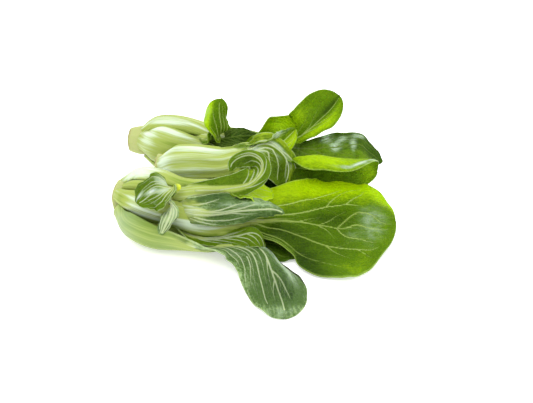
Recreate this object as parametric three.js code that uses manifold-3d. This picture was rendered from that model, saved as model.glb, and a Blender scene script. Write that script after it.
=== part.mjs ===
// A bunch of three baby bok choy heads lying side by side on a table.
// Every leaf is one body: a thick pale stalk that widens into a thin waved blade.
// Millimetres, +Z up. The heads point along +X with their cut butts at -X, and the
// origin ends up under the middle of the whole bunch, on the table.
import * as THREE from 'three';
import { mergeVertices } from 'three/addons/utils/BufferGeometryUtils.js';
import Module from 'manifold-3d';

// The heads: where the butt is, and how the head lies (yaw and pitch in degrees).
const HEADS = {
  front: { butt: [-111, 12, 26], yaw: -14, pitch: -2, stub: 2 },
  middle: { butt: [-85, 50, 25], yaw: 0, pitch: 1, stub: 2 },
  back: { butt: [-104, 96, 24], yaw: -8, pitch: 1, stub: 10 },
};

// The rosette that the stalks of one head form: distance along the head, radius there,
// and the share of its full wrap that a stalk still has there.
const ROSETTE_REACH = [2, 13, 30, 48];
const ROSETTE_RADIUS = [11, 19, 20, 17];
const ROSETTE_WRAP = [0.9, 1, 0.9, 0.68];

// Outline of a leaf
const BELLY_AT = 0.3; // share of the stalk's length at which it is widest
const BLADE_GROWTH = 1.5; // how slowly the blade starts to widen out of the stalk
const TIP_BLUNTNESS = 2; // 2 for an elliptical tip, more for a blunter one
const TIP_HALF = 1.2; // half width that a leaf still has at its very tip
const WAVE_POWER = 2.2; // how strongly the waves keep to the margin
const CURVE_TENSION = 0.5; // of the curves through a leaf's rows
const STRAIGHT = 1e-3; // a half that folds less than this, in radians, is flat across

// Thickness of a leaf
const STALK_EDGE = 1.6; // a stalk along its margins
const BLADE_EDGE = 1.0; // a blade away from its rib
const EDGE_FADE = 3; // the margin is blade-thin after one over this of the blade
const BUTT_SHARE = 0.75; // share of the full thickness at the butt
const NECK_SHARE = 0.65; // share of the full thickness where stalk turns to blade
const RIB_THINNING = 1.6; // how fast the rib gets thinner along the blade
const RIB_NARROWING = 2.5; // how fast the rib gets narrower along the blade
const RIB_END = 1.6; // half width of the rib where it runs out at the tip
const RIB_LEAST = 1.05; // least thickness of the rib, in blade thicknesses

// Crown, the short stem that the stalks sit on, with its outline as shares of its radius
const CROWN_RADIUS = 12;
const CROWN_LENGTH = 15;
const CROWN_SIDES = 16;
const CROWN_FACE = 0.72; // flat of the cut face
const CROWN_RIM = 0.84; // where the bevel round the cut face ends
const CROWN_BEVEL = 0.6; // half height of that bevel
const CROWN_SHOULDER = [0.9, 0.3]; // radius there, and share of the length inside the head
const CROWN_NOSE = [0.55, 0.8];

// Flower bud on top of the front head
const BUD_AT = [-64, -12, 49];
const BUD_RADIUS = 2.6;
const BUD_STRETCH = 1.1;
const BUD_SIDES = 12;
const BUD_RINGS = 8;

// Clearances
const GAP = 0.32; // kept between neighbours
const SPREAD = 1.35; // a grown copy moves its corners this much further, so its faces clear the gap
const TABLE_REACH = 400; // side of the block that stands for the table
const WELD = 1e-4; // corners closer than this are one

// Colours
const STALK_GREEN = 0xcfe0a4;
const LEAF_GREEN = 0x7fae2e;
const WAXY_GREEN = 0x8fb184;
const CROWN_CREAM = 0xd9d2a0;
const BUD_YELLOW = 0xd8dc14;
const LEAF_ROUGHNESS = 0.5;
const CROWN_ROUGHNESS = 0.7;
const BUD_ROUGHNESS = 0.6;

// Leaves. turn: where the stalk stands round its head, in degrees, 0 in front, 90 on top,
// at the butt and at the end of the rosette. layer: share of the rosette's radius, likewise.
// wrap: degrees that the stalk bends round the head to each side. thick: thickest part of
// the stalk. neck: half width where stalk turns to blade. blade: half widths of the blade,
// left and right. stalk: share of the leaf's length that is stalk. peak: where the blade is
// widest. late: share of the blade where each side starts to widen. growth, tip: each side's
// own BLADE_GROWTH and TIP_BLUNTNESS. wave: height of the margin's waves, their number, and
// where they start on each side. rows and across: cuts along stalk, first and last part of
// the blade, and across it. path: the spine beyond the rosette, [x, y, z], the way the inner
// face looks [x, y, z], and the degrees that the left and right halves fold towards it.
const LEAVES = [
  {
    name: 'front_ruffled_leaf', color: WAXY_GREEN, head: 'front', turn: [48, 50], layer: [0.3, 1],
    reach: [10, 22, 34], wrap: 24, thick: 3, neck: 2.6, blade: [15, 16], stalk: 0.62, peak: 0.5,
    wave: [1.2, 2.5, 0, 0.3], rows: [4, 7, 5], across: 8,
    path: [
      [-70, -12, 43, -0.7, 0.2, -0.6, 0, 0],
      [-65, -14, 48, -0.9, 0, -0.1, 0, 0],
      [-69, -18, 52, -0.3, -0.3, 0.9, 0, 0],
      [-76, -20, 52, 0, -0.45, 0.9, -10, -15],
      [-84, -22, 49, -0.1, -0.45, 0.9, -15, -30],
      [-91, -26, 45, -0.4, -0.45, 0.8, -10, -20],
    ],
  },
  {
    name: 'front_dangling_leaf', color: WAXY_GREEN, head: 'front', turn: [44, 48], layer: [0.3, 0.95],
    reach: [8, 17, 26], wrap: 24, thick: 3, neck: 2.2, blade: [6, 6], stalk: 0.6, peak: 0.45,
    wave: [0.8, 3, 0, 0.3], rows: [4, 5, 4], across: 6,
    path: [
      [-73, -18, 43, -0.4, -0.5, -0.7, 0, 0],
      [-67, -23, 43, 0.5, 0.5, 0.5, 30, 30],
      [-68, -28, 37, 0.3, 0.8, 0.3, 70, 70],
      [-72, -32, 30, 0.1, 0.9, 0.3, 80, 80],
      [-75, -36, 25, 0, 0.9, 0.3, 60, 60],
    ],
  },
  {
    name: 'back_upright_leaf', color: LEAF_GREEN, head: 'back', turn: [62, 60], layer: [0.6, 0.76],
    wrap: 24, thick: 4, neck: 5, blade: [11, 13.5], late: [0, 0.3], growth: [0.4, 1.6], tip: [1.1, 1.8],
    stalk: 0.58, peak: 0.6,
    wave: [1.5, 2, 0, 0.3], rows: [5, 6, 4], across: 6,
    path: [
      [-46, 71, 41, -0.2, 0.3, -0.95, 0, 0],
      [-39, 66, 45, -0.7, 0.3, -0.5, 0, 0],
      [-37, 66, 53, -0.6, 0.75, 0, 15, 15],
      [-37.5, 72, 62, -0.5, 0.8, 0, 15, 15],
      [-35, 78, 72.5, -0.4, 0.8, -0.3, 10, 10],
    ],
  },
  {
    name: 'front_outer_leaf', color: WAXY_GREEN, half: [10.5, 18.5, 13.5],
    thick: 6, neck: 13.5, blade: [24, 22], stalk: 0.4, peak: 0.62,
    wave: [1.2, 3, 0, 0.5], rows: [5, 7, 5], across: 8,
    path: [
      [-110, -3, 20, 0.3, 0.85, 0.45, 44, 44],
      [-101, -16, 15, 0.15, 0.87, 0.5, 52, 50],
      [-84, -26, 12, 0.2, 0.87, 0.5, 50, 48],
      [-64, -30, 11, 0.1, 0.8, 0.6, 36, 34],
      [-42, -33, 10.5, 0, 0.5, 0.87, 20, 22],
      [-25, -33, 12, 0, 0.1, 1, -10, 0],
      [-11, -38, 13, 0.2, -0.1, 0.95, -62, -15],
      [-1, -49, 11, 0.2, -0.15, 0.97, -66, -25],
      [5, -64, 7, 0.1, -0.15, 0.97, -40, -25],
      [9, -80, 3.4, 0, 0, 1, -20, -10],
      [12, -97, 1, 0, 0, 1, 0, 0],
    ],
  },
  {
    name: 'front_big_leaf', color: LEAF_GREEN, head: 'front', turn: [36, 14], layer: [0.9, 1.1],
    wrap: 36, thick: 5.5, neck: 8, blade: [58, 44.5], late: [0.04, 0], growth: [1.5, 0.75],
    tip: [1.3, 3], stalk: 0.45, peak: 0.6,
    wave: [1.4, 3, 0, 0.5], rows: [5, 7, 6], across: 10,
    path: [
      [-44, -19, 22, 0, 0.7, -0.7, 15, 15],
      [-24, -14, 18, 0, 0.45, -0.9, 0, 0],
      [-3, -9, 16, 0, 0.3, -0.95, -8, 5],
      [16, -5, 15, 0, 0.26, -0.96, -6, 5],
      [36, -4, 15, 0, 0.25, -0.97, -4, 8],
      [56, -1, 14, 0.05, 0.24, -0.97, -4, 8],
      [77, 2, 12, 0.1, 0.22, -0.97, 0, 8],
      [98, 3, 8, 0.2, 0.2, -0.95, 5, 5],
    ],
  },
  {
    name: 'front_hooked_leaf', color: WAXY_GREEN, head: 'front', turn: [84, 64], layer: [0.56, 1],
    wrap: 26, thick: 4.5, neck: 6, blade: [6, 12], stalk: 0.4, peak: 0.45,
    wave: [1, 3, 0, 0.5], rows: [5, 8, 5], across: 8,
    path: [
      [-50, -8, 43, 0, 0.75, -0.65, 10, 10],
      [-32, -8, 44, 0, 0.75, -0.65, 20, 0],
      [-18, -6, 45, 0.1, 0.7, -0.7, 30, 0],
      [-9, -3, 48, 0.3, 0.7, -0.65, 50, -10],
      [-3, 3, 53, 0.55, 0.67, -0.5, 60, -35],
      [-4, 9, 58, 0.4, 0.8, -0.4, 60, -40],
      [-11, 12, 61, 0, 0.97, -0.2, 60, -40],
      [-19, 11, 60, -0.4, 0.8, -0.4, 50, -40],
      [-25, 8, 57, -0.55, 0.67, -0.5, 30, -35],
      [-27, 4, 53, -0.6, 0.6, -0.5, 10, -25],
    ],
  },
  {
    name: 'front_folded_leaf', color: WAXY_GREEN, head: 'front', turn: [26, 26], layer: [0.5, 0.8],
    wrap: 24, thick: 5, neck: 9, blade: [10, 14], stalk: 0.45, peak: 0.4,
    wave: [1, 3, 0, 0.5], rows: [4, 6, 4], across: 8,
    path: [
      [-46, -22, 35, 0, 0.8, -0.6, 0, 0],
      [-33, -23, 35, 0, 0.8, -0.6, 20, 20],
      [-19, -20, 34, 0, 0.8, -0.6, 55, 55],
      [-3, -17, 33, 0, 0.8, -0.6, 80, 80],
      [6, -16, 32, 0, 0.8, -0.6, 100, 100],
      [13, -16, 29, -0.2, 0.8, -0.6, 110, 110],
    ],
  },
  {
    name: 'front_second_leaf', color: WAXY_GREEN, head: 'front', turn: [-24, -30], layer: [0.66, 1.14],
    wrap: 24, thick: 4.5, neck: 6, blade: [8, 8], late: [0.45, 0], stalk: 0.5, peak: 0.75,
    wave: [1.4, 3, 0, 0.5], rows: [5, 6, 4], across: 6,
    path: [
      [-48, -24.5, 12.5, 0, -0.3, 0.95, 10, 10],
      [-30, -25, 14, 0, -0.45, 0.9, 0, 0],
      [-19, -26, 15, 0, -0.45, 0.9, 0, 0],
      [-11, -27, 15.5, 0.2, -0.4, 0.9, 0, 0],
      [-5, -29, 13, 0.7, -0.2, 0.6, 0, 0],
      [-1, -32, 7, 0.8, -0.1, 0.4, 0, 0],
    ],
  },
  {
    name: 'front_back_leaf', color: STALK_GREEN, head: 'front', turn: [130, 122], layer: [0.9, 1],
    wrap: 44, thick: 6, neck: 9, blade: [24, 16], stalk: 0.55, peak: 0.55,
    wave: [1.6, 3, 0, 0.5], rows: [5, 5, 4], across: 6,
    path: [
      [-44, 6, 40, 0, -0.3, -0.95, 10, 10],
      [-30, 8, 37, 0, -0.3, -0.95, 0, 0],
      [-15, 10, 34, 0, -0.2, -0.97, 0, 0],
      [5, 12, 28, 0, 0, -1, 0, 0],
    ],
  },
  {
    name: 'front_under_leaf', color: LEAF_GREEN, head: 'front', turn: [-152, -150], layer: [0.98, 0.98],
    wrap: 38, thick: 5, neck: 9, blade: [15, 18], stalk: 0.5, peak: 0.55,
    wave: [1.6, 3, 0, 0.5], rows: [5, 5, 5], across: 6,
    path: [
      [-46, 14, 12, 0, -0.6, 0.8, 20, 20],
      [-28, 16, 7, 0, -0.2, 0.97, 5, 5],
      [-8, 18, 4, 0, -0.1, 1, 0, 0],
      [12, 19, 3, 0, 0, 1, 0, 0],
      [32, 20, 2.6, 0, 0, 1, 0, 0],
    ],
  },
  {
    name: 'front_bottom_leaf', color: LEAF_GREEN, head: 'front', turn: [-84, -90], layer: [1.15, 1.06],
    wrap: 32, thick: 4.5, neck: 8, blade: [14, 20], stalk: 0.5, peak: 0.55,
    wave: [1.2, 3, 0, 0.5], rows: [5, 5, 5], across: 6,
    path: [
      [-44, -6, 5, 0, 0, 1, 20, 20],
      [-26, -10, 3, 0, 0, 1, 5, 5],
      [-6, -15, 2.4, 0, 0, 1, 0, 0],
      [14, -20, 2.4, 0, 0, 1, 0, 0],
      [34, -26, 2.4, 0, 0, 1, 0, 0],
    ],
  },
  {
    name: 'middle_ribbed_leaf', color: STALK_GREEN, head: 'middle', turn: [52, 50], layer: [0.92, 1.05],
    wrap: 56, thick: 5.5, neck: 13, blade: [22, 19], stalk: 0.52, peak: 0.5,
    wave: [1.4, 3, 0, 0.5], rows: [5, 6, 5], across: 10,
    path: [
      [-27, 41, 40, 0, 0.5, -0.87, 35, 35],
      [-11, 44, 42, 0, 0.3, -0.95, 15, 15],
      [1, 46, 42, -0.4, 0.4, -0.8, 5, 5],
      [10, 43, 36, -0.7, 0.6, -0.4, 5, 5],
      [14, 38, 28, -0.7, 0.8, 0, 10, 10],
      [15, 33, 19, -0.6, 0.8, 0.1, 20, 20],
    ],
  },
  {
    name: 'middle_rolled_leaf', color: LEAF_GREEN, head: 'middle', turn: [138, 150], layer: [0.72, 0.6],
    wrap: 32, thick: 5.5, neck: 9, blade: [34, 20], late: [0.3, 0], growth: [0.5, 1.5], stalk: 0.44,
    peak: 0.5,
    wave: [1.2, 2, 0, 0.4], rows: [5, 6, 5], across: 10,
    path: [
      [-22, 58, 32, 0, -0.9, -0.4, 20, 20],
      [2, 54, 28, 0, -0.9, 0.3, 20, 10],
      [28, 47, 27, 0, -0.8, 0.6, 175, 10],
      [46, 45, 27, 0, -0.8, 0.6, 190, 15],
      [62, 45, 26, 0, -0.8, 0.6, 190, 20],
      [76, 48, 25, 0, -0.8, 0.6, 150, 20],
      [88, 51, 22, -0.2, -0.8, 0.6, 80, 20],
    ],
  },
  {
    name: 'middle_tip_up_leaf', color: LEAF_GREEN, head: 'middle', turn: [84, 84], layer: [0.4, 0.6],
    wrap: 24, thick: 4.5, neck: 6, blade: [12, 13], tip: [1.1, 1.1], stalk: 0.55, peak: 0.5,
    wave: [1.4, 2.5, 0, 0.3], rows: [5, 5, 4], across: 6,
    path: [
      [-20, 58, 41, 0, -0.3, -0.95, 10, 10],
      [-5, 59, 41, 0, -0.7, -0.7, 0, 0],
      [5, 61, 41, -0.1, -0.95, -0.2, 10, 10],
      [13, 62, 43, -0.2, -0.95, 0.1, 20, 20],
      [23, 68, 50.5, -0.3, -0.9, 0.3, 20, 20],
    ],
  },
  {
    name: 'middle_front_leaf', color: LEAF_GREEN, head: 'middle', turn: [-40, -34], layer: [0.95, 1],
    wrap: 38, thick: 5, neck: 9, blade: [20, 18], stalk: 0.5, peak: 0.55,
    wave: [1.4, 3, 0, 0.5], rows: [5, 5, 5], across: 6,
    path: [
      [-24, 35, 20, 0, 0.8, 0.5, 20, 20],
      [-5, 38, 18, 0, 0.4, 0.9, 5, 5],
      [13, 44, 15, 0, -0.2, 0.97, 0, 0],
      [32, 50, 12, 0, -0.1, 1, 0, 0],
    ],
  },
  {
    name: 'middle_bottom_leaf', color: LEAF_GREEN, head: 'middle', turn: [-104, -98],
    layer: [1.19, 1.08],
    wrap: 42, thick: 4.5, neck: 8, blade: [16, 16], stalk: 0.5, peak: 0.55,
    wave: [1.4, 3, 0, 0.5], rows: [5, 5, 5], across: 6,
    path: [
      [-22, 52, 7, 0, 0, 1, 20, 20],
      [-4, 53, 4, 0, 0, 1, 5, 5],
      [16, 55, 3, 0, 0, 1, 0, 0],
      [36, 57, 3, 0, 0, 1, 0, 0],
      [56, 58, 2.6, 0, 0, 1, 0, 0],
    ],
  },
  {
    name: 'back_belly_leaf', color: STALK_GREEN, head: 'back', turn: [36, 4], layer: [1, 1.1],
    wrap: 54, thick: 6, neck: 11, blade: [20, 20], stalk: 0.55, peak: 0.55,
    wave: [1.4, 3, 0, 0.5], rows: [5, 5, 4], across: 6,
    path: [
      [-36, 68, 23, 0, 0.9, 0.3, 20, 20],
      [-18, 72, 20, 0, 0.6, 0.7, 10, 10],
      [0, 76, 17, 0, 0.3, 0.9, 0, 0],
      [18, 80, 13, 0, 0.1, 1, 0, 0],
    ],
  },
  {
    name: 'back_top_leaf', color: LEAF_GREEN, head: 'back', turn: [98, 88], layer: [0.86, 1],
    wrap: 42, thick: 5.5, neck: 7, blade: [19.5, 13.5], late: [0, 0.58], growth: [0.75, 1.5], stalk: 0.4,
    peak: 0.8,
    wave: [1.2, 2.5, 0, 0.5], rows: [5, 7, 5], across: 10,
    path: [
      [-31, 78, 38, 0, 0.2, -0.97, 20, 20],
      [-12, 83, 37, 0, -0.3, -0.95, 0, 0],
      [6, 82, 36, 0, -0.6, 0.6, 10, 10],
      [24, 79, 38, -0.2, -0.7, 0.6, 30, 30],
      [34, 80, 45, -0.4, -0.8, 0.3, 30, 30],
      [45, 86, 54, -0.4, -0.8, 0.2, 20, 20],
      [59, 96, 66, -0.3, -0.9, 0.1, 10, 10],
    ],
  },
  {
    name: 'back_dark_leaf', color: LEAF_GREEN, head: 'back', turn: [24, 34], layer: [0.6, 0.9],
    wrap: 24, thick: 4, neck: 5, blade: [8, 8], stalk: 0.55, peak: 0.5,
    wave: [1, 3, 0, 0.5], rows: [4, 5, 4], across: 6,
    path: [
      [-41, 74, 36, 0, 0.3, -0.95, 10, 10],
      [-28, 73, 40, 0, 0.6, -0.8, 0, 0],
      [-18, 75, 40, 0, 0.6, -0.8, 0, 0],
      [-7, 79, 38, 0, 0.6, -0.8, 0, 0],
    ],
  },
  {
    name: 'back_right_leaf', color: LEAF_GREEN, head: 'back', turn: [165, 160], layer: [0.9, 0.82],
    wrap: 36, thick: 5.5, neck: 6.5, blade: [11, 16], late: [0.35, 0], stalk: 0.5, peak: 0.6,
    wave: [2.2, 3, 0, 0.5], rows: [5, 6, 5], across: 6,
    path: [
      [-36, 100, 28, 0, -0.9, -0.2, 20, 20],
      [-12, 94, 26, 0, -0.8, 0.4, 10, 10],
      [14, 80, 27, 0, -0.6, 0.8, 10, 10],
      [37, 74, 29, 0, -0.6, 0.8, 20, 10],
      [57, 72, 32, 0, -0.6, 0.8, 40, 20],
      [76, 74, 32, 0.3, -0.4, 0.85, 20, 0],
      [95, 70, 19, 0.7, -0.3, 0.6, -10, -10],
    ],
  },
  {
    name: 'back_bottom_leaf', color: LEAF_GREEN, head: 'back', turn: [-84, -90], layer: [1.12, 1.02],
    wrap: 38, thick: 4.5, neck: 8, blade: [20, 18], stalk: 0.5, peak: 0.55,
    wave: [1.4, 3, 0, 0.5], rows: [5, 5, 5], across: 6,
    path: [
      [-40, 87, 7, 0, 0, 1, 20, 20],
      [-20, 89, 4, 0, 0, 1, 5, 5],
      [0, 92, 3, 0, 0, 1, 0, 0],
      [22, 95, 3, 0, 0, 1, 0, 0],
      [42, 98, 2.6, 0, 0, 1, 0, 0],
    ],
  },
];

const wasm = await Module();
wasm.setup();

// Small helpers
function smoothStep(x) {
  const t = THREE.MathUtils.clamp(x, 0, 1);
  return t * t * (3 - 2 * t);
}

function interpolate(x, xs, ys) {
  let k = 0;
  while (k < xs.length - 2 && x > xs[k + 1]) k += 1;
  const t = THREE.MathUtils.clamp((x - xs[k]) / (xs[k + 1] - xs[k]), 0, 1);
  return THREE.MathUtils.lerp(ys[k], ys[k + 1], t);
}

function headFrame(head) {
  const yaw = THREE.MathUtils.degToRad(head.yaw);
  const pitch = THREE.MathUtils.degToRad(head.pitch);
  const along = new THREE.Vector3(
    Math.cos(yaw) * Math.cos(pitch),
    Math.sin(yaw) * Math.cos(pitch),
    Math.sin(pitch),
  );
  const away = new THREE.Vector3(-Math.sin(yaw), Math.cos(yaw), 0);
  const over = new THREE.Vector3().crossVectors(along, away);
  return { butt: new THREE.Vector3(...head.butt), along, away, over };
}

// Spine rows of a leaf: the stalk rows that follow the rosette, then the rows of its path.
function spineRows(leaf) {
  const rows = [];
  if (leaf.head) {
    const { butt, along, away, over } = headFrame(HEADS[leaf.head]);
    const reach = leaf.reach ?? ROSETTE_REACH;
    reach.forEach((distance, i) => {
      const share = i / (reach.length - 1);
      const turn = THREE.MathUtils.degToRad(THREE.MathUtils.lerp(...leaf.turn, share));
      const layer = THREE.MathUtils.lerp(...leaf.layer, share);
      const outward = away.clone().multiplyScalar(-Math.cos(turn)).addScaledVector(over, Math.sin(turn));
      const radius = interpolate(distance, ROSETTE_REACH, ROSETTE_RADIUS) * layer;
      const fold = leaf.wrap * interpolate(distance, ROSETTE_REACH, ROSETTE_WRAP);
      const at = butt.clone().addScaledVector(along, distance).addScaledVector(outward, radius);
      rows.push({ at, face: outward.negate(), fold: new THREE.Vector3(fold, fold, 0) });
    });
  }
  for (const [x, y, z, faceX, faceY, faceZ, left, right] of leaf.path) {
    rows.push({
      at: new THREE.Vector3(x, y, z),
      face: new THREE.Vector3(faceX, faceY, faceZ),
      fold: new THREE.Vector3(left, right, 0),
    });
  }
  return rows;
}

// Half widths of the stalk at its base and belly. They follow from how far it wraps.
function stalkHalves(leaf) {
  if (leaf.half) return leaf.half;
  const wrap = THREE.MathUtils.degToRad(leaf.wrap) * leaf.layer[0];
  return [wrap * ROSETTE_WRAP[0] * ROSETTE_RADIUS[0], wrap * ROSETTE_RADIUS[1], leaf.neck];
}

function halfWidth(leaf, u, side) {
  const [base, belly, neck] = stalkHalves(leaf);
  if (u < leaf.stalk) {
    const t = u / leaf.stalk;
    if (t < BELLY_AT) return THREE.MathUtils.lerp(base, belly, smoothStep(t / BELLY_AT));
    return THREE.MathUtils.lerp(belly, neck, smoothStep((t - BELLY_AT) / (1 - BELLY_AT)));
  }
  const s = (u - leaf.stalk) / (1 - leaf.stalk);
  const full = leaf.blade[side];
  const late = leaf.late?.[side] ?? 0;
  const growth = leaf.growth?.[side] ?? BLADE_GROWTH;
  const bluntness = leaf.tip?.[side] ?? TIP_BLUNTNESS;
  if (s < leaf.peak) {
    const widened = THREE.MathUtils.clamp((s - late) / (leaf.peak - late), 0, 1);
    return THREE.MathUtils.lerp(neck, full, Math.sin((Math.PI / 2) * widened) ** growth);
  }
  const q = THREE.MathUtils.clamp((s - leaf.peak) / (1 - leaf.peak), 0, 1);
  return Math.max(full * Math.sqrt(Math.max(0, 1 - q ** bluntness)), TIP_HALF);
}

// Thickness under a point that lies `offset` from the spine: the rib, or the whole stalk,
// bulges outward, and the margins are thin.
function thickness(leaf, u, offset, half) {
  const s = THREE.MathUtils.clamp((u - leaf.stalk) / (1 - leaf.stalk), 0, 1);
  const t = THREE.MathUtils.clamp(u / leaf.stalk, 0, 1);
  const edge = THREE.MathUtils.lerp(STALK_EDGE, BLADE_EDGE, smoothStep(s * EDGE_FADE));
  const swell = THREE.MathUtils.lerp(BUTT_SHARE, 1, smoothStep(t / BELLY_AT));
  const shrink = THREE.MathUtils.lerp(1, NECK_SHARE, smoothStep((t - BELLY_AT) / (1 - BELLY_AT)));
  const bladeRib = Math.max(leaf.thick * NECK_SHARE * (1 - s) ** RIB_THINNING, edge * RIB_LEAST);
  const rib = u < leaf.stalk ? leaf.thick * swell * shrink : bladeRib;
  const reach = u < leaf.stalk ? half : RIB_END + (leaf.neck - RIB_END) * (1 - s) ** RIB_NARROWING;
  const bulge = THREE.MathUtils.clamp(1 - (offset / reach) ** 2, 0, 1);
  return { edge, full: edge + (rib - edge) * bulge };
}

// Places along the leaf where it is cut across: even on the stalk and the growing part of
// the blade, closer together towards the tip.
function stations(leaf) {
  const [stalkCuts, growCuts, tipCuts] = leaf.rows;
  const blade = 1 - leaf.stalk;
  const places = [];
  for (let i = 0; i <= stalkCuts; i += 1) places.push((leaf.stalk * i) / stalkCuts);
  for (let i = 1; i <= growCuts; i += 1) places.push(leaf.stalk + (blade * leaf.peak * i) / growCuts);
  for (let i = 1; i <= tipCuts; i += 1) {
    const q = Math.sin(((Math.PI / 2) * i) / tipCuts);
    places.push(leaf.stalk + blade * (leaf.peak + (1 - leaf.peak) * q));
  }
  return places;
}

// Point on the leaf's middle surface at share u of its length and v from -1 to 1 across.
function leafSurface(leaf) {
  const rows = spineRows(leaf);
  const curveOf = (key) => {
    const points = rows.map((row) => row[key]);
    return new THREE.CatmullRomCurve3(points, false, 'catmullrom', CURVE_TENSION);
  };
  const spine = curveOf('at');
  const faces = curveOf('face');
  const folds = curveOf('fold');
  return (u, v) => {
    const t = spine.getUtoTmapping(u);
    const tangent = spine.getTangent(t);
    const face = faces.getPoint(t);
    face.addScaledVector(tangent, -face.dot(tangent)).normalize();
    const right = new THREE.Vector3().crossVectors(tangent, face);
    const side = v < 0 ? 0 : 1;
    const half = halfWidth(leaf, u, side);
    const fold = THREE.MathUtils.degToRad(folds.getPoint(t).getComponent(side));
    const out = Math.abs(v);
    const bent = Math.abs(fold) > STRAIGHT;
    const across = bent ? (half / fold) * Math.sin(fold * out) : half * out;
    const inward = bent ? (half / fold) * (1 - Math.cos(fold * out)) : 0;
    const s = THREE.MathUtils.clamp((u - leaf.stalk) / (1 - leaf.stalk), 0, 1);
    const [height, count, ...start] = leaf.wave;
    const swing = Math.sin(2 * Math.PI * (count * s + start[side]));
    const ripple = height * out ** WAVE_POWER * Math.sqrt(Math.sin(Math.PI * s)) * swing;
    const point = spine.getPoint(t);
    point.addScaledVector(right, Math.sign(v) * (across - Math.sin(fold * out) * ripple));
    point.addScaledVector(face, inward + Math.cos(fold * out) * ripple);
    return { point, offset: out * half, half };
  };
}

// A leaf as a closed shell: the inner face, the outer face with its rib, and the rim.
function leafGeometry(leaf) {
  const surface = leafSurface(leaf);
  const places = stations(leaf);
  const columns = leaf.across + 1;
  const row = (u) => Array.from({ length: columns }, (_, j) => surface(u, (2 * j) / leaf.across - 1));
  const grid = places.map(row);
  const inner = [];
  const outer = [];
  const last = places.length - 1;
  for (let i = 0; i <= last; i += 1) {
    for (let j = 0; j < columns; j += 1) {
      const { point, offset, half } = grid[i][j];
      const before = grid[Math.max(i - 1, 0)][j].point;
      const beyond = grid[Math.min(i + 1, last)][j].point;
      const atLeft = grid[i][Math.max(j - 1, 0)].point;
      const atRight = grid[i][Math.min(j + 1, columns - 1)].point;
      const downLeaf = beyond.clone().sub(before);
      const normal = atRight.clone().sub(atLeft).cross(downLeaf).normalize();
      const { edge, full } = thickness(leaf, places[i], offset, half);
      inner.push(...point.clone().addScaledVector(normal, edge / 2));
      outer.push(...point.clone().addScaledVector(normal, edge / 2 - full));
    }
  }
  const shift = inner.length / 3;
  const faces = [];
  const rim = (p, q) => faces.push(p, q, q + shift, p, q + shift, p + shift);
  for (let i = 0; i < last; i += 1) {
    for (let j = 0; j < columns - 1; j += 1) {
      const a = i * columns + j;
      const b = a + columns;
      faces.push(a, b + 1, b, a, a + 1, b + 1);
      faces.push(a + shift, b + shift, b + 1 + shift, a + shift, b + 1 + shift, a + 1 + shift);
    }
    rim(i * columns, (i + 1) * columns);
    rim((i + 2) * columns - 1, (i + 1) * columns - 1);
  }
  for (let j = 0; j < columns - 1; j += 1) {
    rim(j + 1, j);
    rim(last * columns + j, last * columns + j + 1);
  }
  const geometry = new THREE.BufferGeometry();
  geometry.setAttribute('position', new THREE.Float32BufferAttribute([...inner, ...outer], 3));
  geometry.setIndex(faces);
  return geometry;
}

// The crown: a short cut stem, wide where the stalks leave it and rounded inside the head.
function crownGeometry(head) {
  const profile = [
    [0, -head.stub],
    [CROWN_RADIUS * CROWN_FACE, -head.stub - CROWN_BEVEL],
    [CROWN_RADIUS * CROWN_RIM, -head.stub + CROWN_BEVEL],
    [CROWN_RADIUS, 0],
    [CROWN_RADIUS * CROWN_SHOULDER[0], CROWN_LENGTH * CROWN_SHOULDER[1]],
    [CROWN_RADIUS * CROWN_NOSE[0], CROWN_LENGTH * CROWN_NOSE[1]],
    [0, CROWN_LENGTH],
  ];
  const geometry = new THREE.LatheGeometry(profile.map(([r, h]) => new THREE.Vector2(r, h)), CROWN_SIDES);
  const { butt, along, away, over } = headFrame(head);
  const place = new THREE.Matrix4().makeBasis(away, along, over.negate());
  geometry.applyMatrix4(place.setPosition(butt));
  return geometry;
}

// A small closed flower bud, a little longer than wide.
function budGeometry() {
  const geometry = new THREE.SphereGeometry(BUD_RADIUS, BUD_SIDES, BUD_RINGS);
  geometry.scale(BUD_STRETCH, 1, 1);
  geometry.translate(...BUD_AT);
  return geometry;
}

function welded(geometry) {
  const bare = geometry.clone();
  bare.deleteAttribute('normal');
  bare.deleteAttribute('uv');
  return mergeVertices(bare, WELD);
}

function toSolid(geometry) {
  const merged = welded(geometry);
  return new wasm.Manifold(new wasm.Mesh({
    numProp: 3,
    vertProperties: new Float32Array(merged.attributes.position.array),
    triVerts: new Uint32Array(merged.index.array),
  }));
}

function toGeometry(solid) {
  const mesh = solid.getMesh();
  const geometry = new THREE.BufferGeometry();
  geometry.setAttribute('position', new THREE.BufferAttribute(new Float32Array(mesh.vertProperties), 3));
  geometry.setIndex(new THREE.BufferAttribute(new Uint32Array(mesh.triVerts), 1));
  return geometry;
}

// The same shape moved outward all over, to cut room for it in its neighbours.
function grown(geometry) {
  const copy = welded(geometry);
  copy.computeVertexNormals();
  const { position, normal } = copy.attributes;
  for (let i = 0; i < position.count; i += 1) {
    position.setXYZ(
      i,
      position.getX(i) + normal.getX(i) * GAP * SPREAD,
      position.getY(i) + normal.getY(i) * GAP * SPREAD,
      position.getZ(i) + normal.getZ(i) * GAP * SPREAD,
    );
  }
  return toSolid(copy);
}

function largestPiece(solid) {
  const pieces = solid.decompose();
  return pieces.reduce((best, piece) => (piece.volume() > best.volume() ? piece : best));
}

// Everything below the table's top
const table = new THREE.BoxGeometry(TABLE_REACH, TABLE_REACH, TABLE_REACH);
table.translate(0, 0, -TABLE_REACH / 2);
const tableSolid = toSolid(table);

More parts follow.
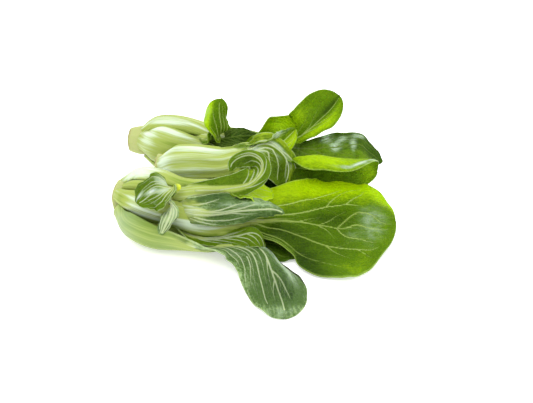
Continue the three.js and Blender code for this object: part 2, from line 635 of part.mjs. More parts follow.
// The pieces in the order in which they keep their full shape: each one leaves room for
// those before it, and nothing reaches below the table.
const pieces = [
  ...Object.entries(HEADS).map(([name, head]) => ({
    name: `${name}_crown`, color: CROWN_CREAM, roughness: CROWN_ROUGHNESS, geometry: crownGeometry(head),
  })),
  ...LEAVES.map((leaf) => ({
    name: leaf.name, color: leaf.color, roughness: LEAF_ROUGHNESS, geometry: leafGeometry(leaf),
  })),
  { name: 'front_bud', color: BUD_YELLOW, roughness: BUD_ROUGHNESS, geometry: budGeometry() },
];

const placed = [];
for (const piece of pieces) {
  let solid = toSolid(piece.geometry).subtract(tableSolid);
  const box = new THREE.Box3().setFromBufferAttribute(piece.geometry.attributes.position);
  for (const other of placed) {
    if (box.intersectsBox(other.box)) solid = solid.subtract(other.room);
  }
  placed.push({
    ...piece,
    box,
    room: grown(piece.geometry),
    geometry: toGeometry(largestPiece(solid)),
  });
}

// Scene graph: the bunch, a group for each head, and a mesh for each piece
const bunch = new THREE.Group();
bunch.name = 'bok_choy_bunch';
const groups = {};
for (const [name, head] of Object.entries(HEADS)) {
  groups[name] = new THREE.Group();
  groups[name].name = `${name}_head`;
  groups[name].position.set(...head.butt);
  bunch.add(groups[name]);
}
for (const { name, color, roughness, geometry } of placed) {
  const group = groups[name.split('_')[0]];
  geometry.translate(...group.position.clone().negate());
  const material = new THREE.MeshStandardMaterial({ color, roughness, metalness: 0 });
  const mesh = new THREE.Mesh(geometry, material);
  mesh.name = name;
  group.add(mesh);
}

// Origin under the middle of the bunch
const whole = new THREE.Box3().setFromObject(bunch);
const centre = whole.getCenter(new THREE.Vector3());
bunch.position.set(-centre.x, -centre.y, -whole.min.z);
bunch.updateMatrixWorld(true);

export default bunch;
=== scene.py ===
# The looks of a bunch of three baby bok choy heads: fine leaves with veins on the packed
# frame, and a pale floor, soft light and a camera. Lengths here are millimetres in the
# leaves' own layout, and become metres in the frame only when a mesh is made.
import math

import bpy
import numpy as np
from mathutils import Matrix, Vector


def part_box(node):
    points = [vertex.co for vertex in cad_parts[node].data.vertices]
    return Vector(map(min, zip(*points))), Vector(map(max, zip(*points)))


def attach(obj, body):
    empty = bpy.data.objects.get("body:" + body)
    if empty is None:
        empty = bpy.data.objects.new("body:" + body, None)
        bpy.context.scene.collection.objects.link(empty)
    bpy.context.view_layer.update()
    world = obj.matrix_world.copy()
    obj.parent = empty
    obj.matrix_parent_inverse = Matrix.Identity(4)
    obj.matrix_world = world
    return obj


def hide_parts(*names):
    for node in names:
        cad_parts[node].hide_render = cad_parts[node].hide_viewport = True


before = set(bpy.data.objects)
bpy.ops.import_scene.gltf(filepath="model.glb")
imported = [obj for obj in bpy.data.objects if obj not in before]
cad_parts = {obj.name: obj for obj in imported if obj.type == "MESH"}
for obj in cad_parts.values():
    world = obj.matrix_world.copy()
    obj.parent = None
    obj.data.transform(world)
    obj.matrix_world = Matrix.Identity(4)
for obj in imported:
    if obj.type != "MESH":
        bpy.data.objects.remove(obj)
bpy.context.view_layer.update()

BODY = "root"
MM = 0.001

# The heads: where the butt is, and how the head lies (yaw and pitch in degrees)
HEADS = {
    "front": dict(butt=[-111, 12, 26], yaw=-14, pitch=-2, stub=2),
    "middle": dict(butt=[-85, 50, 25], yaw=0, pitch=1, stub=2),
    "back": dict(butt=[-104, 96, 24], yaw=-8, pitch=1, stub=10),
}

# The rosette that the stalks of a head form, as the frame's solids have it
ROSETTE_REACH = [2, 13, 30, 48]
ROSETTE_RADIUS = [11, 19, 20, 17]
ROSETTE_WRAP = [0.9, 1, 0.9, 0.68]

# Outline of a leaf
BELLY_AT = 0.3
BLADE_GROWTH = 1.5
TIP_HALF = 0.6
WAVE_POWER = 2.2

# Thickness of a leaf. The blades and margins are finer than the frame's.
STALK_EDGE = 1.3
BLADE_EDGE = 0.62
EDGE_FADE = 3
BUTT_SHARE = 0.75
NECK_SHARE = 0.65
RIB_THINNING = 1.6
RIB_NARROWING = 3.5
RIB_END = 0.8
RIB_LEAST = 1.05

# Crown, with its outline as shares of its radius
CROWN_RADIUS = 12
CROWN_LENGTH = 15
CROWN_FACE = 0.72
CROWN_RIM = 0.84
CROWN_BEVEL = 0.6
CROWN_SHOULDER = [0.9, 0.3]
CROWN_NOSE = [0.55, 0.8]
CROWN_HOLLOW = [[0, 0.9], [0.3, 0.7], [0.6, -0.1]]  # share of the radius, and depth in the cut face
CROWN_WAIST = [0.95, 0.45]  # share of the radius, and of the stub
CROWN_LOBES = [[5, 0.02, 1], [9, 0.015, 0]]  # number, height as a share of the radius, and turn
CROWN_SIDES = 64
CROWN_AXIS = 0.01  # radius of the ring that closes the middle of each end
CROWN_RINGS = 60

# Flower bud on top of the front head
BUD_AT = [-64, -12, 49]
BUD_RADIUS = 2.6
BUD_STRETCH = 1.1
BUD_FULLNESS = 0.8  # less is more bulging
BUD_FURROW = 0.12
BUD_FURROW_POWER = 6
BUD_END = 0.02  # how far from the tips the first and last ring lie, in radians
BUD_SIDES = 32
BUD_RINGS = 24

# Each leaf has the values of its solid, and these for its fine form and colours:
# cuts and across: the rows along stalk, first and last part of the blade, and the columns
# look: which of the LOOKS it has
# ridges: number and height of the ridges on the stalk
# crumple: how strong the blade's unevenness is beside that of the others
# veins: a value for the width, then points as a share of the blade and a place from -1 to 1
# fan: share of the blade over which the stalk's pale colour runs out beside the veins
# wedge: how fast the stalk's pale colour narrows along the spine of the blade
# tones: lighter and darker places, partly the leaf's own colour and partly painted light and shade: a glow
# where light comes through, painted shade in hollows and under other leaves
# bloom and sheen places: wax bloom with painted sheen and highlights on it
# each as a share of the leaf, a place across, the reach along, the reach across and the change
LEAVES = [
    dict(
        name="front_ruffled_leaf", look="fresh", head="front", turn=[48, 50], layer=[0.3, 1],
        reach=[10, 22, 34], wrap=24, thick=3, neck=2.6, blade=[15, 16], stalk=0.62, peak=0.5,
        wave=[1.2, 2.5, 0, 0.3], cuts=[40, 60, 40], across=72,
        path=[
          [-70, -12, 43, -0.7, 0.2, -0.6, 0, 0],
          [-65, -14, 48, -0.9, 0, -0.1, 0, 0],
          [-69, -18, 52, -0.3, -0.3, 0.9, 0, 0],
          [-76, -20, 52, 0, -0.45, 0.9, -10, -15],
          [-84, -22, 49, -0.1, -0.45, 0.9, -15, -30],
          [-91, -26, 45, -0.4, -0.45, 0.8, -10, -20],
        ],
        veins=[
          [1.22, [0.05, 0], [0.4, -0.06], [0.6, -0.05], [0.95, -0.2]],
          [0.54, [0.1, 0.2], [0.35, 0.42], [0.6, 0.5], [0.9, 0.4]],
          [0.54, [0.08, 0.3], [0.3, 0.6], [0.5, 0.8], [0.75, 0.85]],
          [0.54, [0.2, 0.05], [0.45, 0.2], [0.7, 0.18], [0.93, 0.1]],
          [0.41, [0.2, 0.25], [0.45, 0.33], [0.7, 0.33], [0.93, 0.25]],
          [0.54, [0.2, -0.1], [0.45, -0.26], [0.7, -0.3], [0.92, -0.4]],
          [0.41, [0.2, -0.2], [0.45, -0.42], [0.7, -0.5], [0.9, -0.62]],
          [0.54, [0.1, -0.3], [0.35, -0.6], [0.6, -0.75], [0.85, -0.85]],
          [0.47, [0.08, 0.5], [0.25, 0.8], [0.4, 0.92]],
          [0.41, [0.06, -0.6], [0.2, -0.8], [0.4, -0.92]],
        ],
        fan=0.4,
        tones=[[0.7, 0, 0.06, 0.6, 0.2], [0.85, 0, 0.2, 2, -0.1], [0.9, 0.7, 0.1, 0.3, -0.1]],
        haze=[
          [0.73, 0.5, 0.05, 0.25, 1.4], [0.84, 0.06, 0.05, 0.12, 1.8], [0.95, 0.35, 0.05, 0.12, 1.7],
          [0.74, -0.1, 0.05, 0.15, 1.5], [0.85, -0.55, 0.04, 0.1, 0.4],
        ],
    ),
    dict(
        name="front_dangling_leaf", look="waxy", head="front", turn=[44, 48], layer=[0.3, 0.95],
        reach=[8, 17, 26], wrap=24, thick=3, neck=2.2, blade=[6, 6], stalk=0.6, peak=0.45,
        wave=[0.8, 3, 0, 0.3], cuts=[24, 40, 30], across=40,
        path=[
          [-73, -18, 43, -0.4, -0.5, -0.7, 0, 0],
          [-67, -23, 43, 0.5, 0.5, 0.5, 30, 30],
          [-68, -28, 37, 0.3, 0.8, 0.3, 70, 70],
          [-72, -32, 30, 0.1, 0.9, 0.3, 80, 80],
          [-75, -36, 25, 0, 0.9, 0.3, 60, 60],
        ],
        veins=[
          [1.71, [0.02, 0], [0.4, 0], [0.95, 0]],
          [0.76, [0.02, 0.3], [0.4, 0.35], [0.95, 0.3]],
          [0.76, [0.02, -0.3], [0.4, -0.35], [0.95, -0.3]],
          [0.76, [0.02, 0.6], [0.4, 0.7], [0.9, 0.6]],
          [0.76, [0.02, -0.6], [0.4, -0.7], [0.9, -0.6]],
        ],
        fan=0.5,
        tones=[[0.75, 0, 0.15, 1.5, 0.3]],
        haze=[[0.8, 0.4, 0.1, 0.2, 0.6], [0.8, -0.4, 0.1, 0.2, 0.6]],
    ),
    dict(
        name="back_upright_leaf", look="bright", head="back", turn=[62, 60], layer=[0.6, 0.76],
        wrap=24, thick=4, neck=5, blade=[11, 13.5], late=[0, 0.3], growth=[0.4, 1.6], tip=[1.1, 1.8],
        stalk=0.58, peak=0.6,
        wave=[1.5, 2, 0, 0.3], cuts=[36, 40, 30], across=40,
        path=[
          [-46, 71, 41, -0.2, 0.3, -0.95, 0, 0],
          [-39, 66, 45, -0.7, 0.3, -0.5, 0, 0],
          [-37, 66, 53, -0.6, 0.75, 0, 15, 15],
          [-37.5, 72, 62, -0.5, 0.8, 0, 15, 15],
          [-35, 78, 72.5, -0.4, 0.8, -0.3, 10, 10],
        ],
        veins=[
          [0.7, [0.05, 0], [0.43, -0.1], [0.7, 0], [0.93, 0.2]],
          [0.4, [0.1, -0.5], [0.43, -0.7], [0.7, -0.72], [0.9, -0.6]],
          [0.4, [0.1, -0.2], [0.4, -0.4], [0.7, -0.38], [0.9, -0.2]],
          [0.4, [0.1, 0.3], [0.4, 0.25], [0.65, 0.4], [0.85, 0.65]],
          [0.35, [0.1, 0.6], [0.35, 0.6], [0.55, 0.75]],
        ],
        tones=[[0.88, 0.9, 0.08, 0.3, 0.55], [0.75, 0.9, 0.1, 0.2, 0.2], [0.76, -0.1, 0.14, 0.5, -0.2]],
        haze=[[0.88, 0.95, 0.05, 0.3, 0.5]],
    ),
    dict(
        name="front_outer_leaf", look="waxy", half=[10.5, 18.5, 13.5],
        thick=6, neck=13.5, blade=[24, 22], stalk=0.4, peak=0.62,
        wave=[1.2, 3, 0, 0.5], cuts=[60, 76, 56], across=84,
        path=[
          [-110, -3, 20, 0.3, 0.85, 0.45, 44, 44],
          [-101, -16, 15, 0.15, 0.87, 0.5, 52, 50],
          [-84, -26, 12, 0.2, 0.87, 0.5, 50, 48],
          [-64, -30, 11, 0.1, 0.8, 0.6, 36, 34],
          [-42, -33, 10.5, 0, 0.5, 0.87, 20, 22],
          [-25, -33, 12, 0, 0.1, 1, -10, 0],
          [-11, -38, 13, 0.2, -0.1, 0.95, -62, -15],
          [-1, -49, 11, 0.2, -0.15, 0.97, -66, -25],
          [5, -64, 7, 0.1, -0.15, 0.97, -40, -25],
          [9, -80, 3.4, 0, 0, 1, -20, -10],
          [12, -97, 1, 0, 0, 1, 0, 0],
        ],
        veins=[
          [1.5, [0, -0.3], [0.2, -0.32], [0.36, -0.31], [0.44, -0.2], [0.52, -0.1],
            [0.63, -0.02], [0.78, -0.05], [0.93, -0.08]],
          [0.75, [0.03, 0.2], [0.18, 0.24], [0.27, 0.39], [0.39, 0.62], [0.63, 0.86]],
          [0.88, [0.05, 0], [0.25, 0.02], [0.35, 0.06], [0.45, 0.22], [0.57, 0.36],
            [0.7, 0.43], [0.87, 0.54]],
          [0.44, [0.4, 0.38], [0.55, 0.6], [0.7, 0.77]],
          [0.38, [0.5, -0.1], [0.6, 0.08], [0.72, 0.16], [0.8, 0.18]],
          [0.38, [0.68, -0.02], [0.75, 0.12], [0.85, 0.2]],
          [0.69, [0.6, -0.03], [0.67, -0.17], [0.74, -0.27], [0.84, -0.37]],
          [0.5, [0.15, 0.45], [0.3, 0.7], [0.45, 0.86]],
          [0.36, [0.08, 0.11], [0.25, 0.13], [0.37, 0.24], [0.5, 0.45], [0.65, 0.6], [0.8, 0.7]],
          [0.33, [0.3, -0.14], [0.42, -0.02], [0.52, 0.12], [0.65, 0.24], [0.8, 0.33]],
        ],
        fan=0.2,
        tones=[
          [0.08, 0, 0.08, 2, -0.2], [0.25, 0, 0.13, 2, -0.38], [0.42, 0.95, 0.08, 0.3, 0.4],
          [0.85, -0.3, 0.1, 0.4, -0.3], [0.97, 0.1, 0.04, 1.5, 0.15],
          [0.82, 0.3, 0.1, 0.4, -0.15], [0.75, 0.95, 0.2, 0.15, 0.2],
        ],
        haze=[
          [0.08, 0.3, 0.1, 1.5, 0.45], [0.28, 0, 0.1, 2, 0.25], [0.97, 0.1, 0.035, 1.0, 0.4],
          [0.72, -0.6, 0.1, 0.2, 1.5], [0.55, 0.5, 0.06, 0.2, 0.3],
        ],
    ),
    dict(
        name="front_big_leaf", look="bright", head="front", turn=[36, 14], layer=[0.9, 1.1],
        wrap=36, thick=5.5, neck=8, blade=[58, 44.5], late=[0.04, 0], growth=[1.5, 0.75], tip=[1.3, 3],
        stalk=0.45, peak=0.6,
        wave=[1.4, 3, 0, 0.5], cuts=[60, 90, 64], across=110,
        path=[
          [-44, -19, 22, 0, 0.7, -0.7, 15, 15],
          [-24, -14, 18, 0, 0.45, -0.9, 0, 0],
          [-3, -9, 16, 0, 0.3, -0.95, -8, 5],
          [16, -5, 15, 0, 0.26, -0.96, -6, 5],
          [36, -4, 15, 0, 0.25, -0.97, -4, 8],
          [56, -1, 14, 0.05, 0.24, -0.97, -4, 8],
          [77, 2, 12, 0.1, 0.22, -0.97, 0, 8],
          [98, 3, 8, 0.2, 0.2, -0.95, 5, 5],
        ],
        veins=[
          [1.2, [0.02, 0], [0.2, -0.05], [0.4, -0.06], [0.51, -0.12], [0.6, -0.19]],
          [0.5, [0.6, -0.19], [0.64, -0.32], [0.72, -0.42], [0.85, -0.64]],
          [0.5, [0.6, -0.19], [0.67, -0.19], [0.73, -0.16], [0.84, -0.27], [0.95, -0.38]],
          [0.5, [0.6, -0.19], [0.65, -0.1], [0.7, -0.01], [0.78, 0.12],
            [0.84, 0.06], [0.9, -0.1], [0.97, -0.2]],
          [0.6, [0.03, 0.3], [0.27, 0.39], [0.42, 0.42], [0.59, 0.53], [0.7, 0.66]],
          [0.75, [0.02, 0.12], [0.29, 0.13], [0.43, 0.16], [0.57, 0.24], [0.7, 0.29], [0.8, 0.28]],
          [0.35, [0.57, 0.24], [0.61, 0.37], [0.66, 0.49], [0.74, 0.62], [0.82, 0.73]],
          [0.35, [0.7, 0.29], [0.75, 0.42], [0.81, 0.58], [0.83, 0.72]],
          [0.3, [0.38, -0.05], [0.45, 0], [0.52, 0.05]],
          [0.35, [0.5, -0.11], [0.57, -0.05], [0.63, 0.05], [0.7, 0.16]],
          [0.7, [0, -0.15], [0.12, -0.23], [0.33, -0.35], [0.46, -0.41],
            [0.52, -0.49], [0.62, -0.54], [0.85, -0.75]],
          [0.35, [0.68, -0.58], [0.73, -0.7], [0.78, -0.83]],
          [0.35, [0.52, -0.49], [0.56, -0.6], [0.64, -0.7]],
          [0.5, [0, -0.5], [0.18, -0.72], [0.28, -0.76], [0.44, -0.74], [0.56, -0.82]],
          [0.35, [0.1, -0.85], [0.2, -0.9], [0.33, -0.94]],
          [0.35, [0.5, -0.13], [0.54, -0.22], [0.57, -0.36]],
        ],
        fan=0.1,
        tones=[
          [0.13, -0.2, 0.08, 0.5, 0.35], [0.29, -0.4, 0.07, 0.35, 0.6], [0.42, -0.5, 0.05, 0.5, -0.15],
          [0.05, 0.05, 0.025, 0.5, -0.4],
          [0.8, 0.85, 0.22, 0.42, 0.5], [0.58, 0.7, 0.08, 0.5, 0.2],
          [0.6, -0.4, 0.1, 0.4, -0.4], [0.78, 0.03, 0.1, 0.25, -0.32], [0.76, -0.45, 0.07, 0.25, -0.15],
          [0.92, -0.4, 0.06, 0.4, 0.05], [0.79, -0.85, 0.08, 0.15, 0.13],
          [0.68, -0.95, 0.06, 0.3, -0.45], [0.5, -0.85, 0.07, 0.3, -0.35],
        ],
        haze=[[0.92, 0.05, 0.045, 0.25, 0.5], [0.91, -0.35, 0.05, 0.3, 0.4], [0.83, -0.3, 0.03, 0.15, 0.2]],
    ),
    dict(
        name="front_hooked_leaf", look="fresh", head="front", turn=[84, 64], layer=[0.56, 1],
        wrap=26, thick=4.5, neck=6, blade=[6, 12], stalk=0.4, peak=0.45, wedge=1.6,
        wave=[1, 3, 0, 0.5], cuts=[56, 90, 50], across=64,
        path=[
          [-50, -8, 43, 0, 0.75, -0.65, 10, 10],
          [-32, -8, 44, 0, 0.75, -0.65, 20, 0],
          [-18, -6, 45, 0.1, 0.7, -0.7, 30, 0],
          [-9, -3, 48, 0.3, 0.7, -0.65, 50, -10],
          [-3, 3, 53, 0.55, 0.67, -0.5, 60, -35],
          [-4, 9, 58, 0.4, 0.8, -0.4, 60, -40],
          [-11, 12, 61, 0, 0.97, -0.2, 60, -40],
          [-19, 11, 60, -0.4, 0.8, -0.4, 50, -40],
          [-25, 8, 57, -0.55, 0.67, -0.5, 30, -35],
          [-27, 4, 53, -0.6, 0.6, -0.5, 10, -25],
        ],
        veins=[
          [1.2, [0.02, 0], [0.3, 0], [0.6, 0.02], [0.8, 0], [0.97, 0.05]],
          [0.4, [0.4, 0.2], [0.48, 0.55], [0.55, 0.9]],
          [0.4, [0.45, 0.12], [0.55, 0.45], [0.63, 0.85]],
          [0.4, [0.52, 0.1], [0.63, 0.4], [0.72, 0.8]],
          [0.4, [0.6, 0.08], [0.74, 0.36], [0.86, 0.75]],
          [0.4, [0.4, -0.2], [0.5, -0.6], [0.56, -0.9]],
          [0.4, [0.5, -0.12], [0.62, -0.45], [0.7, -0.85]],
          [0.45, [0.62, -0.1], [0.78, -0.35], [0.9, -0.45]],
        ],
        fan=0.2,
        tones=[
          [0.4, -0.7, 0.12, 0.5, 0.2], [0.5, -1, 0.08, 0.5, 0.6], [0.6, 0, 0.15, 1.5, -0.12],
          [0.72, 0.6, 0.05, 0.3, 0.2], [0.9, 0.5, 0.12, 0.7, -0.35],
        ],
    ),
    dict(
        name="front_folded_leaf", look="waxy", head="front", turn=[26, 26], layer=[0.5, 0.8],
        wrap=24, thick=5, neck=9, blade=[10, 14], stalk=0.45, peak=0.4,
        wave=[1, 3, 0, 0.5], cuts=[50, 80, 50], across=72,
        path=[
          [-46, -22, 35, 0, 0.8, -0.6, 0, 0],
          [-33, -23, 35, 0, 0.8, -0.6, 20, 20],
          [-19, -20, 34, 0, 0.8, -0.6, 55, 55],
          [-3, -17, 33, 0, 0.8, -0.6, 80, 80],
          [6, -16, 32, 0, 0.8, -0.6, 100, 100],
          [13, -16, 29, -0.2, 0.8, -0.6, 110, 110],
        ],
        veins=[
          [1.43, [0, -0.2], [0.17, -0.27], [0.35, -0.15], [0.53, -0.02], [0.75, 0], [0.97, 0.03]],
          [0.59, [0.08, 0.05], [0.22, 0], [0.39, 0.16], [0.6, 0.44]],
          [0.65, [0.1, -0.05], [0.3, -0.03], [0.45, 0.04], [0.6, 0.16], [0.72, 0.36]],
          [0.59, [0.1, -0.5], [0.22, -0.62], [0.4, -0.6], [0.6, -0.48]],
          [0.59, [0.05, -0.6], [0.15, -0.8], [0.33, -0.9]],
          [0.45, [0.05, 0.4], [0.2, 0.5], [0.35, 0.7]],
          [0.39, [0.45, -0.1], [0.58, -0.25], [0.72, -0.3]],
        ],
        fan=0.25,
        tones=[
          [0.5, 0, 0.1, 1, 0.25], [0.47, 1, 0.05, 0.12, 0.4], [0.49, 0.6, 0.05, 0.25, -0.3],
          [0.9, 0.5, 0.12, 0.5, 0.2], [0.62, 0.9, 0.1, 0.3, -0.3], [0.78, 0.05, 0.1, 0.15, -0.15],
          [0.63, -0.35, 0.08, 0.4, -0.3],
        ],
        haze=[[0.85, 0.35, 0.14, 0.2, 0.6], [0.66, 0.35, 0.05, 0.15, 0.4]],
    ),
    dict(
        name="front_second_leaf", look="fresh", head="front", turn=[-24, -30], layer=[0.66, 1.14],
        wrap=24, thick=4.5, neck=6, blade=[8, 8], late=[0.45, 0], stalk=0.5, peak=0.75,
        wave=[1.4, 3, 0, 0.5], cuts=[36, 50, 36], across=44,
        path=[
          [-48, -24.5, 12.5, 0, -0.3, 0.95, 10, 10],
          [-30, -25, 14, 0, -0.45, 0.9, 0, 0],
          [-19, -26, 15, 0, -0.45, 0.9, 0, 0],
          [-11, -27, 15.5, 0.2, -0.4, 0.9, 0, 0],
          [-5, -29, 13, 0.7, -0.2, 0.6, 0, 0],
          [-1, -32, 7, 0.8, -0.1, 0.4, 0, 0],
        ],
        veins=[
          [1.3, [0.02, 0.1], [0.3, 0.1], [0.6, -0.1], [0.8, -0.5], [0.95, -0.6]],
          [0.5, [0.1, 0], [0.4, -0.3], [0.6, -0.6]],
          [0.5, [0.2, 0], [0.45, -0.2], [0.7, -0.75]],
          [0.4, [0.15, 0.2], [0.35, 0.5], [0.5, 0.85]],
          [0.4, [0.3, 0.15], [0.5, 0.5], [0.65, 0.9]],
          [0.4, [0.45, 0.1], [0.65, 0.45], [0.78, 0.9]],
          [0.4, [0.6, 0], [0.75, 0.3], [0.88, 0.8]],
          [0.4, [0.72, -0.2], [0.85, 0.1], [0.95, 0.6]],
        ],
        tones=[[0.8, 0, 0.25, 2, -0.12], [0.62, -1, 0.2, 0.3, 0.35]],
    ),
    dict(
        name="front_back_leaf", look="bright", head="front", turn=[130, 122], layer=[0.9, 1],
        wrap=44, thick=6, neck=9, blade=[24, 16], stalk=0.55, peak=0.55,
        wave=[1.6, 3, 0, 0.5], cuts=[40, 30, 20], across=40,
        path=[
          [-44, 6, 40, 0, -0.3, -0.95, 10, 10],
          [-30, 8, 37, 0, -0.3, -0.95, 0, 0],
          [-15, 10, 34, 0, -0.2, -0.97, 0, 0],
          [5, 12, 28, 0, 0, -1, 0, 0],
        ],
        tones=[[0.12, -0.4, 0.14, 1.2, 0.5], [0.4, -0.6, 0.12, 0.6, -0.25], [0.92, -0.3, 0.12, 1.4, 0.75]],
    ),
    dict(
        name="front_under_leaf", look="deep", head="front", turn=[-152, -150], layer=[0.98, 0.98],
        wrap=38, thick=5, neck=9, blade=[15, 18], stalk=0.5, peak=0.55,
        wave=[1.6, 3, 0, 0.5], cuts=[30, 30, 24], across=30,
        path=[
          [-46, 14, 12, 0, -0.6, 0.8, 20, 20],
          [-28, 16, 7, 0, -0.2, 0.97, 5, 5],
          [-8, 18, 4, 0, -0.1, 1, 0, 0],
          [12, 19, 3, 0, 0, 1, 0, 0],
          [32, 20, 2.6, 0, 0, 1, 0, 0],
        ],
    ),
    dict(
        name="front_bottom_leaf", look="deep", head="front", turn=[-84, -90], layer=[1.15, 1.06],
        wrap=32, thick=4.5, neck=8, blade=[14, 20], stalk=0.5, peak=0.55,
        wave=[1.2, 3, 0, 0.5], cuts=[30, 30, 24], across=30,
        path=[
          [-44, -6, 5, 0, 0, 1, 20, 20],
          [-26, -10, 3, 0, 0, 1, 5, 5],
          [-6, -15, 2.4, 0, 0, 1, 0, 0],
          [14, -20, 2.4, 0, 0, 1, 0, 0],
          [34, -26, 2.4, 0, 0, 1, 0, 0],
        ],
    ),
    dict(
        name="middle_ribbed_leaf", look="fresh", head="middle", turn=[52, 50], layer=[0.92, 1.05],
        wrap=56, thick=5.5, neck=13, blade=[22, 19], stalk=0.52, peak=0.5,
        wave=[1.4, 3, 0, 0.5], cuts=[70, 80, 56], across=96,
        path=[
          [-27, 41, 40, 0, 0.5, -0.87, 35, 35],
          [-11, 44, 42, 0, 0.3, -0.95, 15, 15],
          [1, 46, 42, -0.4, 0.4, -0.8, 5, 5],
          [10, 43, 36, -0.7, 0.6, -0.4, 5, 5],
          [14, 38, 28, -0.7, 0.8, 0, 10, 10],
          [15, 33, 19, -0.6, 0.8, 0.1, 20, 20],
        ],
        ridges=[4.5, 0.9],
        veins=[
          [1.44, [0.2, 0.3], [0.35, 0.45], [0.49, 0.44], [0.6, 0.41],
            [0.74, 0.38], [0.84, 0.36], [0.95, 0.05]],
          [0.96, [0.2, 0.1], [0.35, 0.2], [0.46, 0.28], [0.56, 0.04], [0.76, -0.34], [0.88, -0.6]],
          [0.88, [0.15, 0], [0.3, 0.05], [0.43, 0.02], [0.5, -0.26], [0.65, -0.55]],
          [0.96, [0.2, 0.5], [0.4, 0.6], [0.57, 0.5], [0.68, 0.66], [0.78, 0.86], [0.86, 0.92]],
          [0.88, [0.15, -0.2], [0.36, -0.1], [0.47, -0.4], [0.7, -0.75]],
          [0.64, [0.66, 0.4], [0.76, 0.18], [0.88, 0.02]],
        ],
        fan=0.2,
        tones=[
          [0.28, 0.4, 0.2, 0.25, 0.25], [0.06, 0, 0.06, 1.4, 0.35], [0.3, -0.35, 0.2, 0.2, 0.1],
          [0.22, -0.7, 0.15, 0.2, 0.25],
          [0.68, 0.3, 0.08, 0.4, 0.2], [0.92, 0.5, 0.1, 0.25, 0.3], [0.85, -0.1, 0.1, 0.5, -0.25],
          [0.74, 1, 0.1, 0.2, 0.3], [0.92, -0.5, 0.08, 0.4, -0.2],
        ],
        haze=[
          [0.67, 0.15, 0.045, 0.3, 1.6], [0.76, 0.55, 0.04, 0.12, 1.3], [0.86, 0.55, 0.05, 0.1, 0.8],
          [0.8, 0.15, 0.03, 0.1, 0.5],
        ],
    ),
    dict(
        name="middle_rolled_leaf", look="bright", head="middle", turn=[138, 150], layer=[0.72, 0.6],
        wrap=32, thick=5.5, neck=9, blade=[34, 20], late=[0.3, 0], growth=[0.5, 1.5],
        stalk=0.44, peak=0.5,
        wave=[1.2, 2, 0, 0.4], cuts=[40, 76, 56], across=84,
        path=[
          [-22, 58, 32, 0, -0.9, -0.4, 20, 20],
          [2, 54, 28, 0, -0.9, 0.3, 20, 10],
          [28, 47, 27, 0, -0.8, 0.6, 175, 10],
          [46, 45, 27, 0, -0.8, 0.6, 190, 15],
          [62, 45, 26, 0, -0.8, 0.6, 190, 20],
          [76, 48, 25, 0, -0.8, 0.6, 150, 20],
          [88, 51, 22, -0.2, -0.8, 0.6, 80, 20],
        ],
        tones=[
          [0.72, -0.7, 0.22, 0.35, 0.35], [0.7, 0.3, 0.2, 0.4, -0.25], [0.95, 0.2, 0.06, 0.6, 0.25],
        ],
        veins=[[0.3, [0.02, 0], [0.5, 0], [0.95, 0]]],
        haze=[[0.88, -0.87, 0.07, 0.05, 1.8], [0.94, -1, 0.03, 0.1, 1.2]],
    ),
    dict(
        name="middle_tip_up_leaf", look="bright", head="middle", turn=[84, 84], layer=[0.4, 0.6],
        wrap=24, thick=4.5, neck=6, blade=[12, 13], tip=[1.1, 1.1], stalk=0.55, peak=0.5,
        wave=[1.4, 2.5, 0, 0.3], cuts=[30, 40, 30], across=48,
        path=[
          [-20, 58, 41, 0, -0.3, -0.95, 10, 10],
          [-5, 59, 41, 0, -0.7, -0.7, 0, 0],
          [5, 61, 41, -0.1, -0.95, -0.2, 10, 10],
          [13, 62, 43, -0.2, -0.95, 0.1, 20, 20],
          [23, 68, 50.5, -0.3, -0.9, 0.3, 20, 20],
        ],
        tones=[[0.9, 0.6, 0.15, 0.6, 0.45], [0.8, -0.6, 0.1, 0.3, 0.1]],
        haze=[[0.86, -0.85, 0.08, 0.25, 1.6]],
    ),
    dict(
        name="middle_front_leaf", look="deep", head="middle", turn=[-40, -34], layer=[0.95, 1],
        wrap=38, thick=5, neck=9, blade=[20, 18], stalk=0.5, peak=0.55,
        wave=[1.4, 3, 0, 0.5], cuts=[30, 30, 24], across=30,
        path=[
          [-24, 35, 20, 0, 0.8, 0.5, 20, 20],
          [-5, 38, 18, 0, 0.4, 0.9, 5, 5],
          [13, 44, 15, 0, -0.2, 0.97, 0, 0],
          [32, 50, 12, 0, -0.1, 1, 0, 0],
        ],
    ),
    dict(
        name="middle_bottom_leaf", look="deep", head="middle", turn=[-104, -98], layer=[1.19, 1.08],
        wrap=42, thick=4.5, neck=8, blade=[16, 16], stalk=0.5, peak=0.55,
        wave=[1.4, 3, 0, 0.5], cuts=[30, 30, 24], across=30,
        path=[
          [-22, 52, 7, 0, 0, 1, 20, 20],
          [-4, 53, 4, 0, 0, 1, 5, 5],
          [16, 55, 3, 0, 0, 1, 0, 0],
          [36, 57, 3, 0, 0, 1, 0, 0],
          [56, 58, 2.6, 0, 0, 1, 0, 0],
        ],
    ),
    dict(
        name="back_belly_leaf", look="waxy", head="back", turn=[36, 4], layer=[1, 1.1],
        wrap=54, thick=6, neck=11, blade=[20, 20], stalk=0.55, peak=0.55,
        wave=[1.4, 3, 0, 0.5], cuts=[60, 30, 20], across=56,
        path=[
          [-36, 68, 23, 0, 0.9, 0.3, 20, 20],
          [-18, 72, 20, 0, 0.6, 0.7, 10, 10],
          [0, 76, 17, 0, 0.3, 0.9, 0, 0],
          [18, 80, 13, 0, 0.1, 1, 0, 0],
        ],
        tones=[
          [0.2, 0, 0.12, 0.35, -0.2], [0.1, 0.35, 0.05, 0.6, 0.3], [0.2, 0.75, 0.2, 0.2, 0.5],
          [0.14, -0.75, 0.1, 0.25, 0.2], [0.28, 0.35, 0.1, 0.2, -0.3],
        ],
    ),
    dict(
        name="back_top_leaf", look="bright", head="back", turn=[98, 88], layer=[0.86, 1],
        wrap=42, thick=5.5, neck=7, blade=[19.5, 13.5], late=[0, 0.58], growth=[0.75, 1.5],
        stalk=0.4, peak=0.8,
        wave=[1.2, 2.5, 0, 0.5], cuts=[56, 76, 56], across=76,
        path=[
